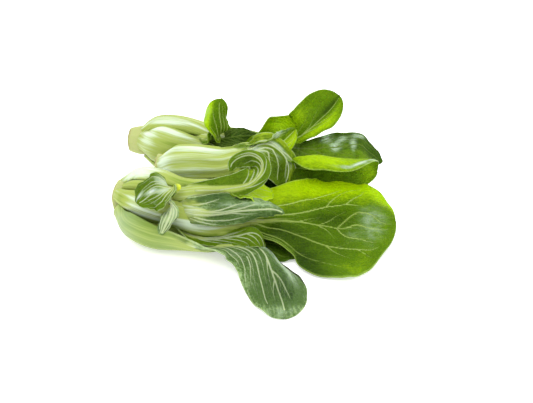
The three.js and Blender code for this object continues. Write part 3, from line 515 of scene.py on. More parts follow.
          [-31, 78, 38, 0, 0.2, -0.97, 20, 20],
          [-12, 83, 37, 0, -0.3, -0.95, 0, 0],
          [6, 82, 36, 0, -0.6, 0.6, 10, 10],
          [24, 79, 38, -0.2, -0.7, 0.6, 30, 30],
          [34, 80, 45, -0.4, -0.8, 0.3, 30, 30],
          [45, 86, 54, -0.4, -0.8, 0.2, 20, 20],
          [59, 96, 66, -0.3, -0.9, 0.1, 10, 10],
        ],
        tones=[
          [0.17, -0.35, 0.15, 0.25, 0.45], [0.22, -0.85, 0.15, 0.15, -0.12],
          [0.65, -0.5, 0.12, 0.5, 0.25], [0.84, 0.6, 0.12, 0.4, 0.3], [0.92, 0.05, 0.12, 0.2, -0.4],
          [0.8, -0.7, 0.1, 0.3, 0.12],
        ],
        veins=[
          [0.8, [0.05, 0.05], [0.4, 0.15], [0.56, 0.22], [0.73, 0.11], [0.89, 0.2], [0.98, 0.2]],
          [0.3, [0.3, 0.1], [0.45, -0.2], [0.62, -0.5]],
          [0.3, [0.45, 0.15], [0.6, -0.15], [0.78, -0.5]],
          [0.3, [0.6, 0.15], [0.72, -0.1], [0.88, -0.4]],
          [0.3, [0.6, 0.2], [0.72, 0.4], [0.85, 0.6]],
          [0.3, [0.7, 0.15], [0.8, 0.35], [0.92, 0.5]],
        ],
    ),
    dict(
        name="back_dark_leaf", look="deep", head="back", turn=[24, 34], layer=[0.6, 0.9],
        wrap=24, thick=4, neck=5, blade=[8, 8], stalk=0.55, peak=0.5,
        wave=[1, 3, 0, 0.5], cuts=[24, 40, 30], across=40,
        path=[
          [-41, 74, 36, 0, 0.3, -0.95, 10, 10],
          [-28, 73, 40, 0, 0.6, -0.8, 0, 0],
          [-18, 75, 40, 0, 0.6, -0.8, 0, 0],
          [-7, 79, 38, 0, 0.6, -0.8, 0, 0],
        ],
        tones=[[0.88, 0, 0.2, 1.5, -0.25]],
    ),
    dict(
        name="back_right_leaf", look="deep", head="back", turn=[165, 160], layer=[0.9, 0.82],
        wrap=36, thick=5.5, neck=6.5, blade=[11, 16], late=[0.35, 0], stalk=0.5, peak=0.6,
        wave=[2.2, 3, 0, 0.5], cuts=[36, 70, 50], across=64,
        path=[
          [-36, 100, 28, 0, -0.9, -0.2, 20, 20],
          [-12, 94, 26, 0, -0.8, 0.4, 10, 10],
          [14, 80, 27, 0, -0.6, 0.8, 10, 10],
          [37, 74, 29, 0, -0.6, 0.8, 20, 10],
          [57, 72, 32, 0, -0.6, 0.8, 40, 20],
          [76, 74, 32, 0.3, -0.4, 0.85, 20, 0],
          [95, 70, 19, 0.7, -0.3, 0.6, -10, -10],
        ],
        crumple=2,
        tones=[
          [0.97, -0.2, 0.05, 1, -0.1], [0.72, -0.4, 0.12, 0.5, 0.25], [0.87, 0.72, 0.06, 0.3, 1],
          [0.72, 0.3, 0.12, 0.6, 0.3],
        ],
        haze=[
          [0.76, -0.75, 0.025, 0.3, 1.5], [0.79, -0.1, 0.02, 0.3, 1.6], [0.82, -0.5, 0.02, 0.25, 1.4],
          [0.86, -0.1, 0.012, 0.5, 1.1], [0.88, -0.8, 0.02, 0.15, 1.2],
        ],
    ),
    dict(
        name="back_bottom_leaf", look="deep", head="back", turn=[-84, -90], layer=[1.12, 1.02],
        wrap=38, thick=4.5, neck=8, blade=[20, 18], stalk=0.5, peak=0.55,
        wave=[1.4, 3, 0, 0.5], cuts=[30, 30, 24], across=30,
        path=[
          [-40, 87, 7, 0, 0, 1, 20, 20],
          [-20, 89, 4, 0, 0, 1, 5, 5],
          [0, 92, 3, 0, 0, 1, 0, 0],
          [22, 95, 3, 0, 0, 1, 0, 0],
          [42, 98, 2.6, 0, 0, 1, 0, 0],
        ],
    ),
]

# Relief of the fine surface. Waves are given as their number, shortest and longest length.
RELIEF_FADE = 5  # how fast the blade's relief starts beyond the stalk
QUILT = 0.55  # how far the blade swells between its veins
QUILT_REACH = 3.5  # distance from a vein at which the swelling is full
QUILT_POWER = 4  # how late the swelling sinks towards the margin
CRUMPLE = 0.6  # height of the blade's slow unevenness
CRUMPLE_WAVES = (7, 14, 40)
RUFFLE = 0.35  # height of the small waves right at the margin
RUFFLE_POWER = 7
RUFFLE_COUNT = 3.3  # small waves for each wave of the solid's margin
RUFFLE_SHIFT = 0.2  # share of a small wave between the two margins
RUFFLE_WAVES = (3, 20, 40)
RIDGES = (5, 0.16)  # number and height of a stalk's ridges, where its leaf doesn't say
RIDGE_START = 0.6  # where the first ridge lies, in radians
RIDGE_DRIFT = 0.0245  # how far the ridges wander from straight lines
RIDGE_WAVES = (3, 60, 120)
RIDGE_FADE = 4  # how fast the ridges start at the butt and end in the blade
RIDGE_MARGIN = 0.8  # place across where they sink towards the margin

# Veins
VEIN_SIDES = 8
VEIN_STEP = 1.2  # length of one piece of a vein's tube
VEIN_POINTS = 12  # points of a vein's path
TRACE_POINTS = 16  # points of it where the distance to a vein is measured
VEIN_SLIM = 0.7  # half width of a listed vein as a share of the value in the list
VEIN_TAPER = 0.3  # half width at its end as a share of that at its start
BRANCHING = 0.4  # listed veins wider than this have branches
VEIN_LIFT_OUT = 0.26  # how far a vein stands out of the outer face
VEIN_LIFT_IN = 0.1
VEIN_RANGE = 6  # distance beyond which a vein is left out
VEIN_HALO = 0.2  # pale stretch beside a vein
VEIN_CORE = 0.8  # share of a vein's half width that is fully pale
VEIN_FULL = 0.25  # half width from which a vein has its full strength
VEIN_FAINTEST = 0.35
FAINT_GAP = 2.2  # how much further away the faintest vein seems to the swelling beside it
VEIN_FADE = 6  # how fast the veins start beyond the stalk
VEIN_MARGIN = 0.985  # place across beyond which no vein runs
VEIN_FEWEST = 6  # points along the shortest vein's tube
VEIN_ROUNDING = 0.1  # share of a vein's length over which its end is rounded
VEIN_BLUNT = 0.02
VEIN_HIGH = 0.4  # half width from which a vein stands out fully
VEIN_MARK = (0.55, 0.6)  # strength of the thinnest vein's colour, and how much wider is full
VEIN_INNER_FROM = 0.1  # height on the tube from which it has the inner face's colour

# Veins of a leaf that doesn't list its own
MIDRIB_SPAN = (0.06, 0.97)  # shares of the blade where the midrib starts and ends
MIDRIB_WIDTH = (1.0, 0.15)  # half width at its start and end
LATERALS = 6  # side veins on each side
LATERAL_POINTS = 9
LATERAL_BOW = 0.9  # less is more bent
LATERAL_STAGGER = 0.25  # how far the two sides take turns, as a share of their spacing
LATERAL_SHIFT = 0.12  # how far each may stray from its place
LATERAL_LAST = 0.72  # share of the blade where the last one would start
LATERAL_CROWDING = 1.15
LATERAL_RUN = (0.42, 0.16)  # share of the blade that the first one spans, less for the last
LATERAL_END = 0.95
LATERAL_REACH = (0.88, 0.25)  # how far across the first one reaches, less for the last
LATERAL_WIDTH = (0.42, 0.2)  # half width of the first one, less for the last
LATERAL_TIP = 0.12

# Branches of veins
BRANCH_STARTS = ((2, 1), (4, -1), (5, 1), (7, -1))  # point of the path, and to which side
BRANCH_POINTS = 5
BRANCH_REACH = (0.1, 0.05)  # share of the blade that a branch spans, and how much it varies
BRANCH_SPREAD = {1: 0.16, -1: -0.12}  # how far across it goes on each side
BRANCH_BEND = 0.03
BRANCH_MARGIN = 0.97
BRANCH_WIDTH = (0.2, 0.07)  # on the first side vein, less on the last
BRANCH_WIDTH_LISTED = 0.11
BRANCH_TIP = 0.06

# The stalk's pale colour and how it runs into the blade
PALE_WIDTH = (1.3, 0.6)  # half width as a share of the stalk's, and how much less at the neck
PALE_NARROWS_AT = 0.55  # share of the stalk from which it narrows
PALE_CORE = 0.7  # share of its half width that is fully pale
PALE_SOFTNESS = (0.6, 0.4)  # soft edge as a share of its half width, and in millimetres
WEDGE_SHARE = 0.7  # half width of the wedge at its start as a share of the neck's
WEDGE_POWER = 8
FAN = 0.12
FAN_CORE = 0.3  # share of the fan that is fully pale
FAN_NARROWING = 0.6  # how much sooner the pale colour ends at the margins
FAN_POWER = 1.5
FAN_UNEVEN = 0.04
FAN_WAVES = (5, 4, 12)
RAY_HALO = 1.1  # reach of the stalk's pale colour beside the veins at the foot of the blade

# Lightness from 0 to 1, before the leaf's listed light and dark places, which are partly painted light and
# shade
STALK_TONE = 0.45
# Painted light on the crests of the stalk's ridges and painted shade at its margins, so its grooves and
# flanks look shaded
CREST_PAINTED_LIGHT = 0.18  # more on the crests of the ridges
MARGIN_PAINTED_SHADE = 0.35  # less at the stalk's margins
MARGIN_POWER = 3
BLADE_TONE = 0.5
TONE_FADE = 4

# Colours, linear. A blade's and a stalk's go from dark over middle to light, and the lightness, with its
# painted light and shade, picks among them.
STALK = ((0.17, 0.26, 0.02, 1), (0.335, 0.415, 0.09, 1), (0.62, 0.73, 0.56, 1))
BLOOM_AND_SHEEN = (0.38, 0.50, 0.32, 1)  # the wax bloom on the leaves, with painted sheen on it
THICK_BLOOM_AND_HIGHLIGHT = (0.66, 0.75, 0.66, 1)  # where it lies thick: painted highlights on folds and crumples
THICKEST_BLOOM_AND_SHEEN = 2
LOOKS = {
    "waxy": dict(
        inner=((0.022, 0.052, 0.010, 1), (0.070, 0.135, 0.028, 1), (0.36, 0.50, 0.22, 1)),
        outer=((0.022, 0.052, 0.010, 1), (0.070, 0.135, 0.028, 1), (0.36, 0.50, 0.22, 1)),
        vein=(0.60, 0.71, 0.38, 1), glow=(0.40, 0.65, 0.03, 1), through=0.2, gloss=0.14, texture=1.0,
    ),
    "fresh": dict(
        inner=((0.030, 0.065, 0.000, 1), (0.095, 0.175, 0.002, 1), (0.42, 0.58, 0.02, 1)),
        outer=((0.030, 0.065, 0.000, 1), (0.095, 0.175, 0.002, 1), (0.42, 0.58, 0.02, 1)),
        vein=(0.62, 0.74, 0.40, 1), glow=(0.45, 0.70, 0.01, 1), through=0.25, gloss=0.1, texture=0.8,
    ),
    "bright": dict(
        inner=((0.020, 0.045, 0.000, 1), (0.085, 0.165, 0.000, 1), (0.42, 0.62, 0.000, 1)),
        outer=((0.020, 0.050, 0.000, 1), (0.085, 0.170, 0.000, 1), (0.42, 0.62, 0.000, 1)),
        vein=(0.50, 0.66, 0.16, 1), glow=(0.60, 0.88, 0.0, 1), through=0.3, gloss=0.08, texture=0.45,
    ),
    # deep: dark greens for the leaves that lie low and behind, partly their own colour and partly painted
    # shade for where they lie under the others
    "deep": dict(
        inner=((0.010, 0.025, 0.000, 1), (0.035, 0.08, 0.001, 1), (0.12, 0.22, 0.003, 1)),
        outer=((0.012, 0.03, 0.000, 1), (0.04, 0.09, 0.001, 1), (0.13, 0.22, 0.01, 1)),
        vein=(0.15, 0.24, 0.03, 1), glow=(0.30, 0.50, 0.00, 1), through=0.2, gloss=0.1, texture=0.9,
    ),
}
CROWN_CREAM = (0.38, 0.41, 0.15, 1)
CROWN_BROWN = (0.24, 0.19, 0.05, 1)
BUD_YELLOW = (0.52, 0.56, 0.01, 1)
FLOOR_WHITE = (0.93, 0.93, 0.935, 1)
TABLE_GLOW = 0.45  # the floor is a lit table


# Values of the calculation itself
TINY = 1e-9
FAR = 1e3
SPLINE_POINTS = 201
SPLINE_STEP = 1e-4
STRAIGHT = 1e-3  # a side that is folded by fewer radians is taken as flat
SEED_SPACING = 37.0  # how far apart the leaves lie in the noise textures
LOWEST = 0.02  # no point lies lower above the table


# Small helpers
def smooth_step(x):
    t = np.clip(x, 0, 1)
    return t * t * (3 - 2 * t)


def mix(a, b, share):
    return a + (b - a) * share


def catmull_rom(points, t):
    """Point at each t, from 0 to 1, on the uniform spline through the points."""
    p = np.asarray(points, float)
    n = len(p)
    x = np.clip(np.asarray(t, float), 0, 1) * (n - 1)
    i = np.minimum(np.floor(x).astype(int), n - 2)
    w = (x - i)[:, None]
    ends = np.vstack([2 * p[0] - p[1], p, 2 * p[-1] - p[-2]])
    p0, p1, p2, p3 = ends[i], ends[i + 1], ends[i + 2], ends[i + 3]
    v0, v1 = (p2 - p0) * 0.5, (p3 - p1) * 0.5
    return p1 + v0 * w + (-3 * p1 + 3 * p2 - 2 * v0 - v1) * w**2 + (2 * p1 - 2 * p2 + v0 + v1) * w**3


def along_spline(points, u):
    """The t at each share u of the spline's length, and that length."""
    ts = np.linspace(0, 1, SPLINE_POINTS)
    steps = np.linalg.norm(np.diff(catmull_rom(points, ts), axis=0), axis=1)
    reach = np.concatenate([[0], np.cumsum(steps)])
    return np.interp(np.asarray(u) * reach[-1], reach, ts), reach[-1]


def unit(v):
    return v / np.maximum(np.linalg.norm(v, axis=-1, keepdims=True), TINY)


# Leaf form
def head_frame(head):
    """A head's butt, and its ways along, away from the viewer, and up."""
    yaw, pitch = math.radians(head["yaw"]), math.radians(head["pitch"])
    along = np.array([math.cos(yaw) * math.cos(pitch), math.sin(yaw) * math.cos(pitch), math.sin(pitch)])
    away = np.array([-math.sin(yaw), math.cos(yaw), 0])
    return np.array(head["butt"], float), along, away, np.cross(along, away)


def spine_rows(leaf):
    """Places, ways that the inner face looks, and folds of the leaf's spine."""
    at, face, fold = [], [], []
    if "head" in leaf:
        butt, along, away, over = head_frame(HEADS[leaf["head"]])
        reach = leaf.get("reach", ROSETTE_REACH)
        for i, distance in enumerate(reach):
            share = i / (len(reach) - 1)
            turn = math.radians(mix(*leaf["turn"], share))
            outward = -math.cos(turn) * away + math.sin(turn) * over
            radius = np.interp(distance, ROSETTE_REACH, ROSETTE_RADIUS) * mix(*leaf["layer"], share)
            bend = leaf["wrap"] * np.interp(distance, ROSETTE_REACH, ROSETTE_WRAP)
            at.append(butt + along * distance + outward * radius)
            face.append(-outward)
            fold.append([bend, bend])
    for row in leaf["path"]:
        at.append(row[:3])
        face.append(row[3:6])
        fold.append(row[6:])
    return np.array(at, float), np.array(face, float), np.array(fold, float)


def stalk_halves(leaf):
    """Half widths of the stalk at its butt, belly and neck."""
    if "half" in leaf:
        return leaf["half"]
    wrap = math.radians(leaf["wrap"]) * leaf["layer"][0]
    return wrap * ROSETTE_WRAP[0] * ROSETTE_RADIUS[0], wrap * ROSETTE_RADIUS[1], leaf["neck"]


def half_width(leaf, u, side):
    """Half width of one side of the leaf at each share u of its length."""
    base, belly, neck = stalk_halves(leaf)
    full, peak = leaf["blade"][side], leaf["peak"]
    late, blunt = leaf.get("late", [0, 0])[side], leaf.get("tip", [2, 2])[side]
    growth = leaf.get("growth", [BLADE_GROWTH, BLADE_GROWTH])[side]
    t = u / leaf["stalk"]
    lower = mix(base, belly, smooth_step(t / BELLY_AT))
    upper = mix(belly, neck, smooth_step((t - BELLY_AT) / (1 - BELLY_AT)))
    s = (u - leaf["stalk"]) / (1 - leaf["stalk"])
    growing = mix(neck, full, np.sin(np.pi / 2 * np.clip((s - late) / (peak - late), 0, 1)) ** growth)
    q = np.clip((s - peak) / (1 - peak), 0, 1)
    tip = np.maximum(full * np.sqrt(np.clip(1 - q**blunt, 0, 1)), TIP_HALF)
    return np.where(t < BELLY_AT, lower, np.where(t < 1, upper, np.where(s < peak, growing, tip)))


def blade_share(leaf, u):
    """How far along the blade each share u of the leaf lies, from 0 to 1."""
    return np.clip((u - leaf["stalk"]) / (1 - leaf["stalk"]), 0, 1)


def thickness(leaf, u, offset, half):
    """Thickness at the margin, and under a point that lies `offset` from the spine."""
    s = blade_share(leaf, u)
    t = np.clip(u / leaf["stalk"], 0, 1)
    edge = mix(STALK_EDGE, BLADE_EDGE, smooth_step(s * EDGE_FADE))
    swell = mix(BUTT_SHARE, 1, smooth_step(t / BELLY_AT))
    shrink = mix(1, NECK_SHARE, smooth_step((t - BELLY_AT) / (1 - BELLY_AT)))
    blade_rib = np.maximum(leaf["thick"] * NECK_SHARE * (1 - s) ** RIB_THINNING, edge * RIB_LEAST)
    on_stalk = u < leaf["stalk"]
    rib = np.where(on_stalk, leaf["thick"] * swell * shrink, blade_rib)
    reach = np.where(on_stalk, half, RIB_END + (leaf["neck"] - RIB_END) * (1 - s) ** RIB_NARROWING)
    return edge, edge + (rib - edge) * np.clip(1 - (offset / reach) ** 2, 0, 1)


def stations(leaf):
    """Shares of the leaf's length where its rows of points lie, closer towards the tip."""
    stalk_cuts, grow_cuts, tip_cuts = leaf["cuts"]
    blade, peak = 1 - leaf["stalk"], leaf["peak"]
    stalk = leaf["stalk"] * np.arange(stalk_cuts + 1) / stalk_cuts
    grow = leaf["stalk"] + blade * peak * np.arange(1, grow_cuts + 1) / grow_cuts
    q = np.sin(np.pi / 2 * np.arange(1, tip_cuts + 1) / tip_cuts)
    return np.concatenate([stalk, grow, leaf["stalk"] + blade * (peak + (1 - peak) * q)])


def middle_sheet(leaf, us, vs):
    """The leaf's middle surface: points, distance from the spine, half width, and the leaf's length."""
    at, face, fold = spine_rows(leaf)
    t, length = along_spline(at, us)
    spine = catmull_rom(at, t)
    before = catmull_rom(at, np.clip(t - SPLINE_STEP, 0, 1))
    after = catmull_rom(at, np.clip(t + SPLINE_STEP, 0, 1))
    tangent = unit(after - before)
    inward = catmull_rom(face, t)
    inward = unit(inward - tangent * np.sum(inward * tangent, 1, keepdims=True))
    right = np.cross(tangent, inward)
    bends = np.radians(catmull_rom(fold, t))
    height, count, *start = leaf["wave"]
    s = blade_share(leaf, us)
    shape = len(us), len(vs)
    points, offset, halves = np.zeros(shape + (3,)), np.zeros(shape), np.zeros(shape)
    for j, v in enumerate(vs):
        side = 0 if v < 0 else 1
        half, bend, out = half_width(leaf, us, side), bends[:, side], abs(v)
        straight = np.abs(bend) < STRAIGHT
        safe = np.where(straight, 1, bend)
        across = np.where(straight, half * out, half / safe * np.sin(bend * out))
        rise = np.where(straight, 0, half / safe * (1 - np.cos(bend * out)))
        swing = np.sin(2 * np.pi * (count * s + start[side]))
        ripple = height * out**WAVE_POWER * np.sqrt(np.sin(np.pi * s)) * swing
        points[:, j] = (
            spine
            + right * (np.sign(v) * (across - np.sin(bend * out) * ripple))[:, None]
            + inward * (rise + np.cos(bend * out) * ripple)[:, None]
        )
        offset[:, j] = out * half
        halves[:, j] = half
    return points, offset, halves, length


def sheet_normals(points):
    """Unit normals of a grid of points, towards the leaf's inner face."""
    return unit(np.cross(np.gradient(points, axis=1), np.gradient(points, axis=0)))


# Veins, as lists of points (share of the blade, place across from -1 to 1)
def lateral(side, start, end, reach):
    """Path of one side vein, which bends towards the tip on its way out."""
    t = np.linspace(0, 1, LATERAL_POINTS)
    s = start + (end - start) * t
    return np.stack([s, side * reach * np.sin(np.pi / 2 * t) ** LATERAL_BOW], 1)


def pinnate_veins(rng):
    """Side veins that leave the midrib in turn, each with branches of its own."""
    veins = []
    for side in (-1, 1):
        for i in range(LATERALS):
            shift = rng.uniform(-LATERAL_SHIFT, LATERAL_SHIFT)
            place = (i + LATERAL_STAGGER * (side + 1) + shift) / LATERALS
            start = LATERAL_LAST * max(place, 0) ** LATERAL_CROWDING
            end = min(start + LATERAL_RUN[0] - LATERAL_RUN[1] * place, LATERAL_END)
            reach = LATERAL_REACH[0] - LATERAL_REACH[1] * place**2
            path = lateral(side, start, end, reach)
            veins.append((path, LATERAL_WIDTH[0] - LATERAL_WIDTH[1] * place, LATERAL_TIP))
            veins.extend(branches(path, side, BRANCH_WIDTH[0] - BRANCH_WIDTH[1] * place, rng))
    return veins


def branches(path, side, width, rng):
    """Short thin veins that leave a vein to both of its sides."""
    made = []
    for k, way in BRANCH_STARTS:
        s, v = path[min(k, len(path) - 1)]
        reach = BRANCH_REACH[0] + rng.uniform(0, BRANCH_REACH[1])
        across = np.clip(v + side * BRANCH_SPREAD[way], -BRANCH_MARGIN, BRANCH_MARGIN)
        t = np.linspace(0, 1, BRANCH_POINTS)[:, None]
        end = np.array([[s + reach, across]])
        bend = np.array([[BRANCH_BEND, 0.0]]) * np.sin(np.pi * t)
        made.append((mix(np.array([[s, v]]), end, t) + bend, width, BRANCH_TIP))
    return made


def leaf_veins(leaf, rng):
    """All veins of a leaf, each as its path and its half width at the start and end."""
    if "veins" not in leaf:
        midrib = np.stack([np.linspace(*MIDRIB_SPAN, VEIN_POINTS), np.zeros(VEIN_POINTS)], 1)
        return [(midrib, *MIDRIB_WIDTH)] + pinnate_veins(rng)
    veins = []
    for width, *path in leaf["veins"]:
        path = resample(np.array(path, float), VEIN_POINTS)
        veins.append((path, width * VEIN_SLIM, width * VEIN_SLIM * VEIN_TAPER))
        if width > BRANCHING:
            veins.extend(branches(path, np.sign(path[-1, 1]), BRANCH_WIDTH_LISTED, rng))
    return veins


def resample(path, count):
    """The path through the same points, with its points evenly spaced."""
    return catmull_rom(path, along_spline(path, np.linspace(0, 1, count))[0])


def vein_distance(flat, lines, halo):
    """For each point of the flat leaf, the distance to the nearest vein, and the strongest trace."""
    nearest = np.full(len(flat), FAR)
    trace = np.zeros(len(flat))
    for line, start, end in lines:
        low, high = line.min(0) - VEIN_RANGE, line.max(0) + VEIN_RANGE
        near = np.nonzero(((flat >= low) & (flat <= high)).all(1))[0]
        if not len(near):
            continue
        a, b = line[:-1], line[1:]
        step = b - a
        p = flat[near][:, None, :] - a[None]
        along = np.clip((p * step).sum(2) / np.maximum((step * step).sum(1), TINY), 0, 1)
        gap = np.linalg.norm(p - along[..., None] * step, axis=2)
        best = gap.argmin(1)
        rows = np.arange(len(near))
        share = (best + along[rows, best]) / len(a)
        width = mix(start, end, share)
        distance = gap[rows, best]
        strength = np.clip(width / VEIN_FULL, VEIN_FAINTEST, 1)
        nearest[near] = np.minimum(nearest[near], distance + FAINT_GAP * (1 - strength))
        mark = strength * np.exp(-((distance / (width * VEIN_CORE + halo)) ** 2))
        trace[near] = np.maximum(trace[near], mark)
    return nearest, trace


# Meshes
def waves(flat, rng, count, shortest, longest):
    """A slow random unevenness between about -1 and 1."""
    total = np.zeros(flat.shape[:-1])
    for _ in range(count):
        turn, phase = rng.uniform(0, 2 * np.pi, 2)
        step = 2 * np.pi / rng.uniform(shortest, longest)
        way = np.array([math.cos(turn), math.sin(turn)]) * step
        total += np.sin(flat @ way + phase)
    return total / math.sqrt(count)


def pale_reach(leaf, u, half):
    """Half width of the pale stalk, which runs on into the blade as a narrowing wedge."""
    s = blade_share(leaf, u)
    t = np.clip(u / leaf["stalk"], 0, 1)
    narrowing = smooth_step((t - PALE_NARROWS_AT) / (1 - PALE_NARROWS_AT))
    on_stalk = half * (PALE_WIDTH[0] - PALE_WIDTH[1] * narrowing)
    wedge = WEDGE_SHARE * leaf["neck"] * (1 - s) ** leaf.get("wedge", WEDGE_POWER)
    return np.where(u < leaf["stalk"], on_stalk, wedge)


class Sheet:
    """A leaf as fine grids: inner face, outer face and what is known at each of their points."""

    def __init__(self, leaf, seed):
        rng = np.random.default_rng(seed)
        self.leaf = leaf
        self.us = stations(leaf)
        self.vs = np.linspace(-1, 1, leaf["across"] + 1)
        points, offset, half, self.length = middle_sheet(leaf, self.us, self.vs)
        u = self.us[:, None] + 0 * self.vs
        v = self.vs + 0 * u
        s = blade_share(leaf, u)
        self.flat = np.stack([u * self.length, v * half], -1)
        self.veins = leaf_veins(leaf, rng)
        lines = [(self.on_flat(resample(path, TRACE_POINTS)), a, b) for path, a, b in self.veins]
        nearest, trace = vein_distance(self.flat.reshape(-1, 2), lines, VEIN_HALO)
        nearest, trace = nearest.reshape(u.shape), trace.reshape(u.shape)
        points = points + sheet_normals(points) * self.relief(v, s, nearest, rng)[..., None]

        self.normal = sheet_normals(points)
        edge, full = thickness(leaf, u, offset, half)
        self.crest, ridges = self.ridges(u, v, rng)
        full = full + ridges
        self.inner = points + self.normal * (edge / 2)[..., None]
        self.outer = points + self.normal * (edge / 2 - full)[..., None]
        rays = vein_distance(self.flat.reshape(-1, 2), lines, RAY_HALO)[1].reshape(u.shape)
        self.pale = self.paleness(v, s, offset, pale_reach(leaf, u, half), rays, rng)
        self.trace = trace * smooth_step(s * VEIN_FADE)
        # Lightness with painted light and shade in it, and wax bloom with painted sheen
        self.tone = self.tones(u, v, s)
        self.haze = np.clip(self.places("haze", u, v), 0, THICKEST_BLOOM_AND_SHEEN)
        self.rim = np.abs(v)

    def relief(self, v, s, nearest, rng):
        """Height of the blade's swellings, crumples and small waves above the smooth sheet."""
        blade = smooth_step(s * RELIEF_FADE)
        inside = np.sqrt(np.clip(1 - np.abs(v) ** QUILT_POWER, 0, 1))
        relief = QUILT * (smooth_step(nearest / QUILT_REACH) - 0.5) * blade * inside
        relief += CRUMPLE * self.leaf.get("crumple", 1) * blade * waves(self.flat, rng, *CRUMPLE_WAVES)
        turns = self.leaf["wave"][1] * RUFFLE_COUNT * s + RUFFLE_SHIFT * np.sign(v)
        ruffle = np.sin(2 * np.pi * turns + waves(self.flat, rng, *RUFFLE_WAVES))
        return relief + RUFFLE * blade * np.abs(v) ** RUFFLE_POWER * ruffle

    def paleness(self, v, s, offset, reach, rays, rng):
        """Share of the stalk's colour: the stalk, its wedge, and rays along the veins above it."""
        soft = reach * PALE_SOFTNESS[0] + PALE_SOFTNESS[1]
        stalk = (1 - smooth_step((offset - reach * PALE_CORE) / soft)) * smooth_step(reach)
        fan = self.leaf.get("fan", FAN)
        narrowing = FAN_NARROWING * fan * np.abs(v) ** FAN_POWER
        drawn = s + narrowing + FAN_UNEVEN * waves(self.flat, rng, *FAN_WAVES)
        rays = rays * (1 - smooth_step((drawn - fan * FAN_CORE) / fan))
        return np.maximum(stalk, np.maximum(rays, 1 - smooth_step(drawn / fan)))

    def tones(self, u, v, s):
        """Lightness from 0 to 1: painted light on the stalk's ridges and painted shade at its margins, and
        the leaf's listed places, partly its own colour and partly painted light and shade.
        """
        shade = 1 - MARGIN_PAINTED_SHADE * np.abs(v) ** MARGIN_POWER
        on_stalk = (STALK_TONE + CREST_PAINTED_LIGHT * self.crest) * shade
        tone = mix(on_stalk, BLADE_TONE, smooth_step(s * TONE_FADE))
        return np.clip(tone + self.places("tones", u, v), 0, 1)

    def places(self, key, u, v):
        """The sum of the leaf's listed soft spots: place along and across, reach both ways, change."""
        total = 0 * u
        for place, side, long, wide, change in self.leaf.get(key, []):
            total = total + change * np.exp(-(((u - place) / long) ** 2) - (((v - side) / wide) ** 2))
        return total

    def ridges(self, u, v, rng):
        """Crests from 0 to 1 across a stalk, and the height of the low ridges that they make."""
        count, height = self.leaf.get("ridges", RIDGES)
        drift = RIDGE_DRIFT * waves(self.flat, rng, *RIDGE_WAVES)
        starting = smooth_step(np.clip(u / self.leaf["stalk"], 0, 1) * RIDGE_FADE)
        ending = smooth_step(blade_share(self.leaf, u) * RIDGE_FADE)
        margin = smooth_step((np.abs(v) - RIDGE_MARGIN) / (1 - RIDGE_MARGIN))
        crest = 0.5 + 0.5 * np.cos(2 * np.pi * count * (v * 0.5 + drift) + RIDGE_START)
        return crest, height * crest * starting * (1 - ending) * (1 - margin)

    def on_flat(self, path):
        """Vein points as places on the flat leaf, in millimetres."""
        u = self.leaf["stalk"] + np.clip(path[:, 0], 0, 1) * (1 - self.leaf["stalk"])
        side = (path[:, 1] >= 0).astype(int)
        half = np.where(side, half_width(self.leaf, u, 1), half_width(self.leaf, u, 0))
        return np.stack([u * self.length, path[:, 1] * half], 1)

    def look_up(self, grid, path):
        """Values of a grid at vein points."""
        u = self.leaf["stalk"] + np.clip(path[:, 0], 0, 1) * (1 - self.leaf["stalk"])
        row = np.interp(u, self.us, np.arange(len(self.us)))
        column = (np.clip(path[:, 1], -1, 1) + 1) / 2 * (len(self.vs) - 1)
        i = np.minimum(row.astype(int), len(self.us) - 2)
        j = np.minimum(column.astype(int), len(self.vs) - 2)
        a, b = (row - i)[:, None], (column - j)[:, None]
        return (
            grid[i, j] * (1 - a) * (1 - b) + grid[i + 1, j] * a * (1 - b)
            + grid[i, j + 1] * (1 - a) * b + grid[i + 1, j + 1] * a * b
        )


class Shell:
    """Gathers the points, faces and point values of one mesh."""

    def __init__(self):
        self.points, self.faces, self.values = [], [], []
        self.count = 0

    def add(self, points, faces, **values):
        start = self.count
        self.points.append(points.reshape(-1, 3))
        self.faces.extend([tuple(int(k) + start for k in face) for face in faces])
        self.values.append(values)
        self.count += len(self.points[-1])

    def mesh(self, name, move):
        """The mesh in metres, moved from the leaves' layout to the frame and kept above the table."""
        mesh = bpy.data.meshes.new(name)
        points = np.vstack(self.points) + move
        points[:, 2] = np.maximum(points[:, 2], LOWEST)
        mesh.from_pydata((points * MM).tolist(), [], self.faces)
        for key in self.values[0]:
            parts = [np.asarray(v[key], float) for v in self.values]
            if parts[0].ndim > 1 and parts[0].shape[-1] == 3:
                layer = mesh.attributes.new(key, "FLOAT_VECTOR", "POINT")
                layer.data.foreach_set("vector", np.vstack([p.reshape(-1, 3) for p in parts]).ravel())
            else:
                layer = mesh.attributes.new(key, "FLOAT", "POINT")
                layer.data.foreach_set("value", np.concatenate([p.ravel() for p in parts]))
        mesh.validate()
        mesh.polygons.foreach_set("use_smooth", np.ones(len(mesh.polygons), bool))
        mesh.update()
        return mesh


def grid_faces(rows, columns, flip):
    """Faces between neighbouring points of a grid."""
    i, j = np.meshgrid(np.arange(rows - 1), np.arange(columns - 1), indexing="ij")
    a = (i * columns + j).ravel()
    quads = np.stack([a, a + 1, a + columns + 1, a + columns], 1)
    return quads[:, ::-1] if flip else quads


def tube_faces(rings, sides, flip=False):
    """Faces round a row of rings, with both ends closed."""
    faces = []
    for i in range(rings - 1):
        for k in range(sides):
            a, b = i * sides + k, i * sides + (k + 1) % sides
            faces.append((a, a + sides, b + sides, b) if flip else (a, b, b + sides, a + sides))
    first, last = tuple(range(sides)), tuple(range((rings - 1) * sides, rings * sides))
    return faces + ([first, last[::-1]] if flip else [first[::-1], last])


def rim_loop(rows, columns):
    """Indices round the border of a grid, in order."""
    bottom = [j for j in range(columns)]
    right = [i * columns + columns - 1 for i in range(1, rows)]
    top = [(rows - 1) * columns + j for j in range(columns - 2, -1, -1)]
    left = [i * columns for i in range(rows - 2, 0, -1)]
    return np.array(bottom + right + top + left)


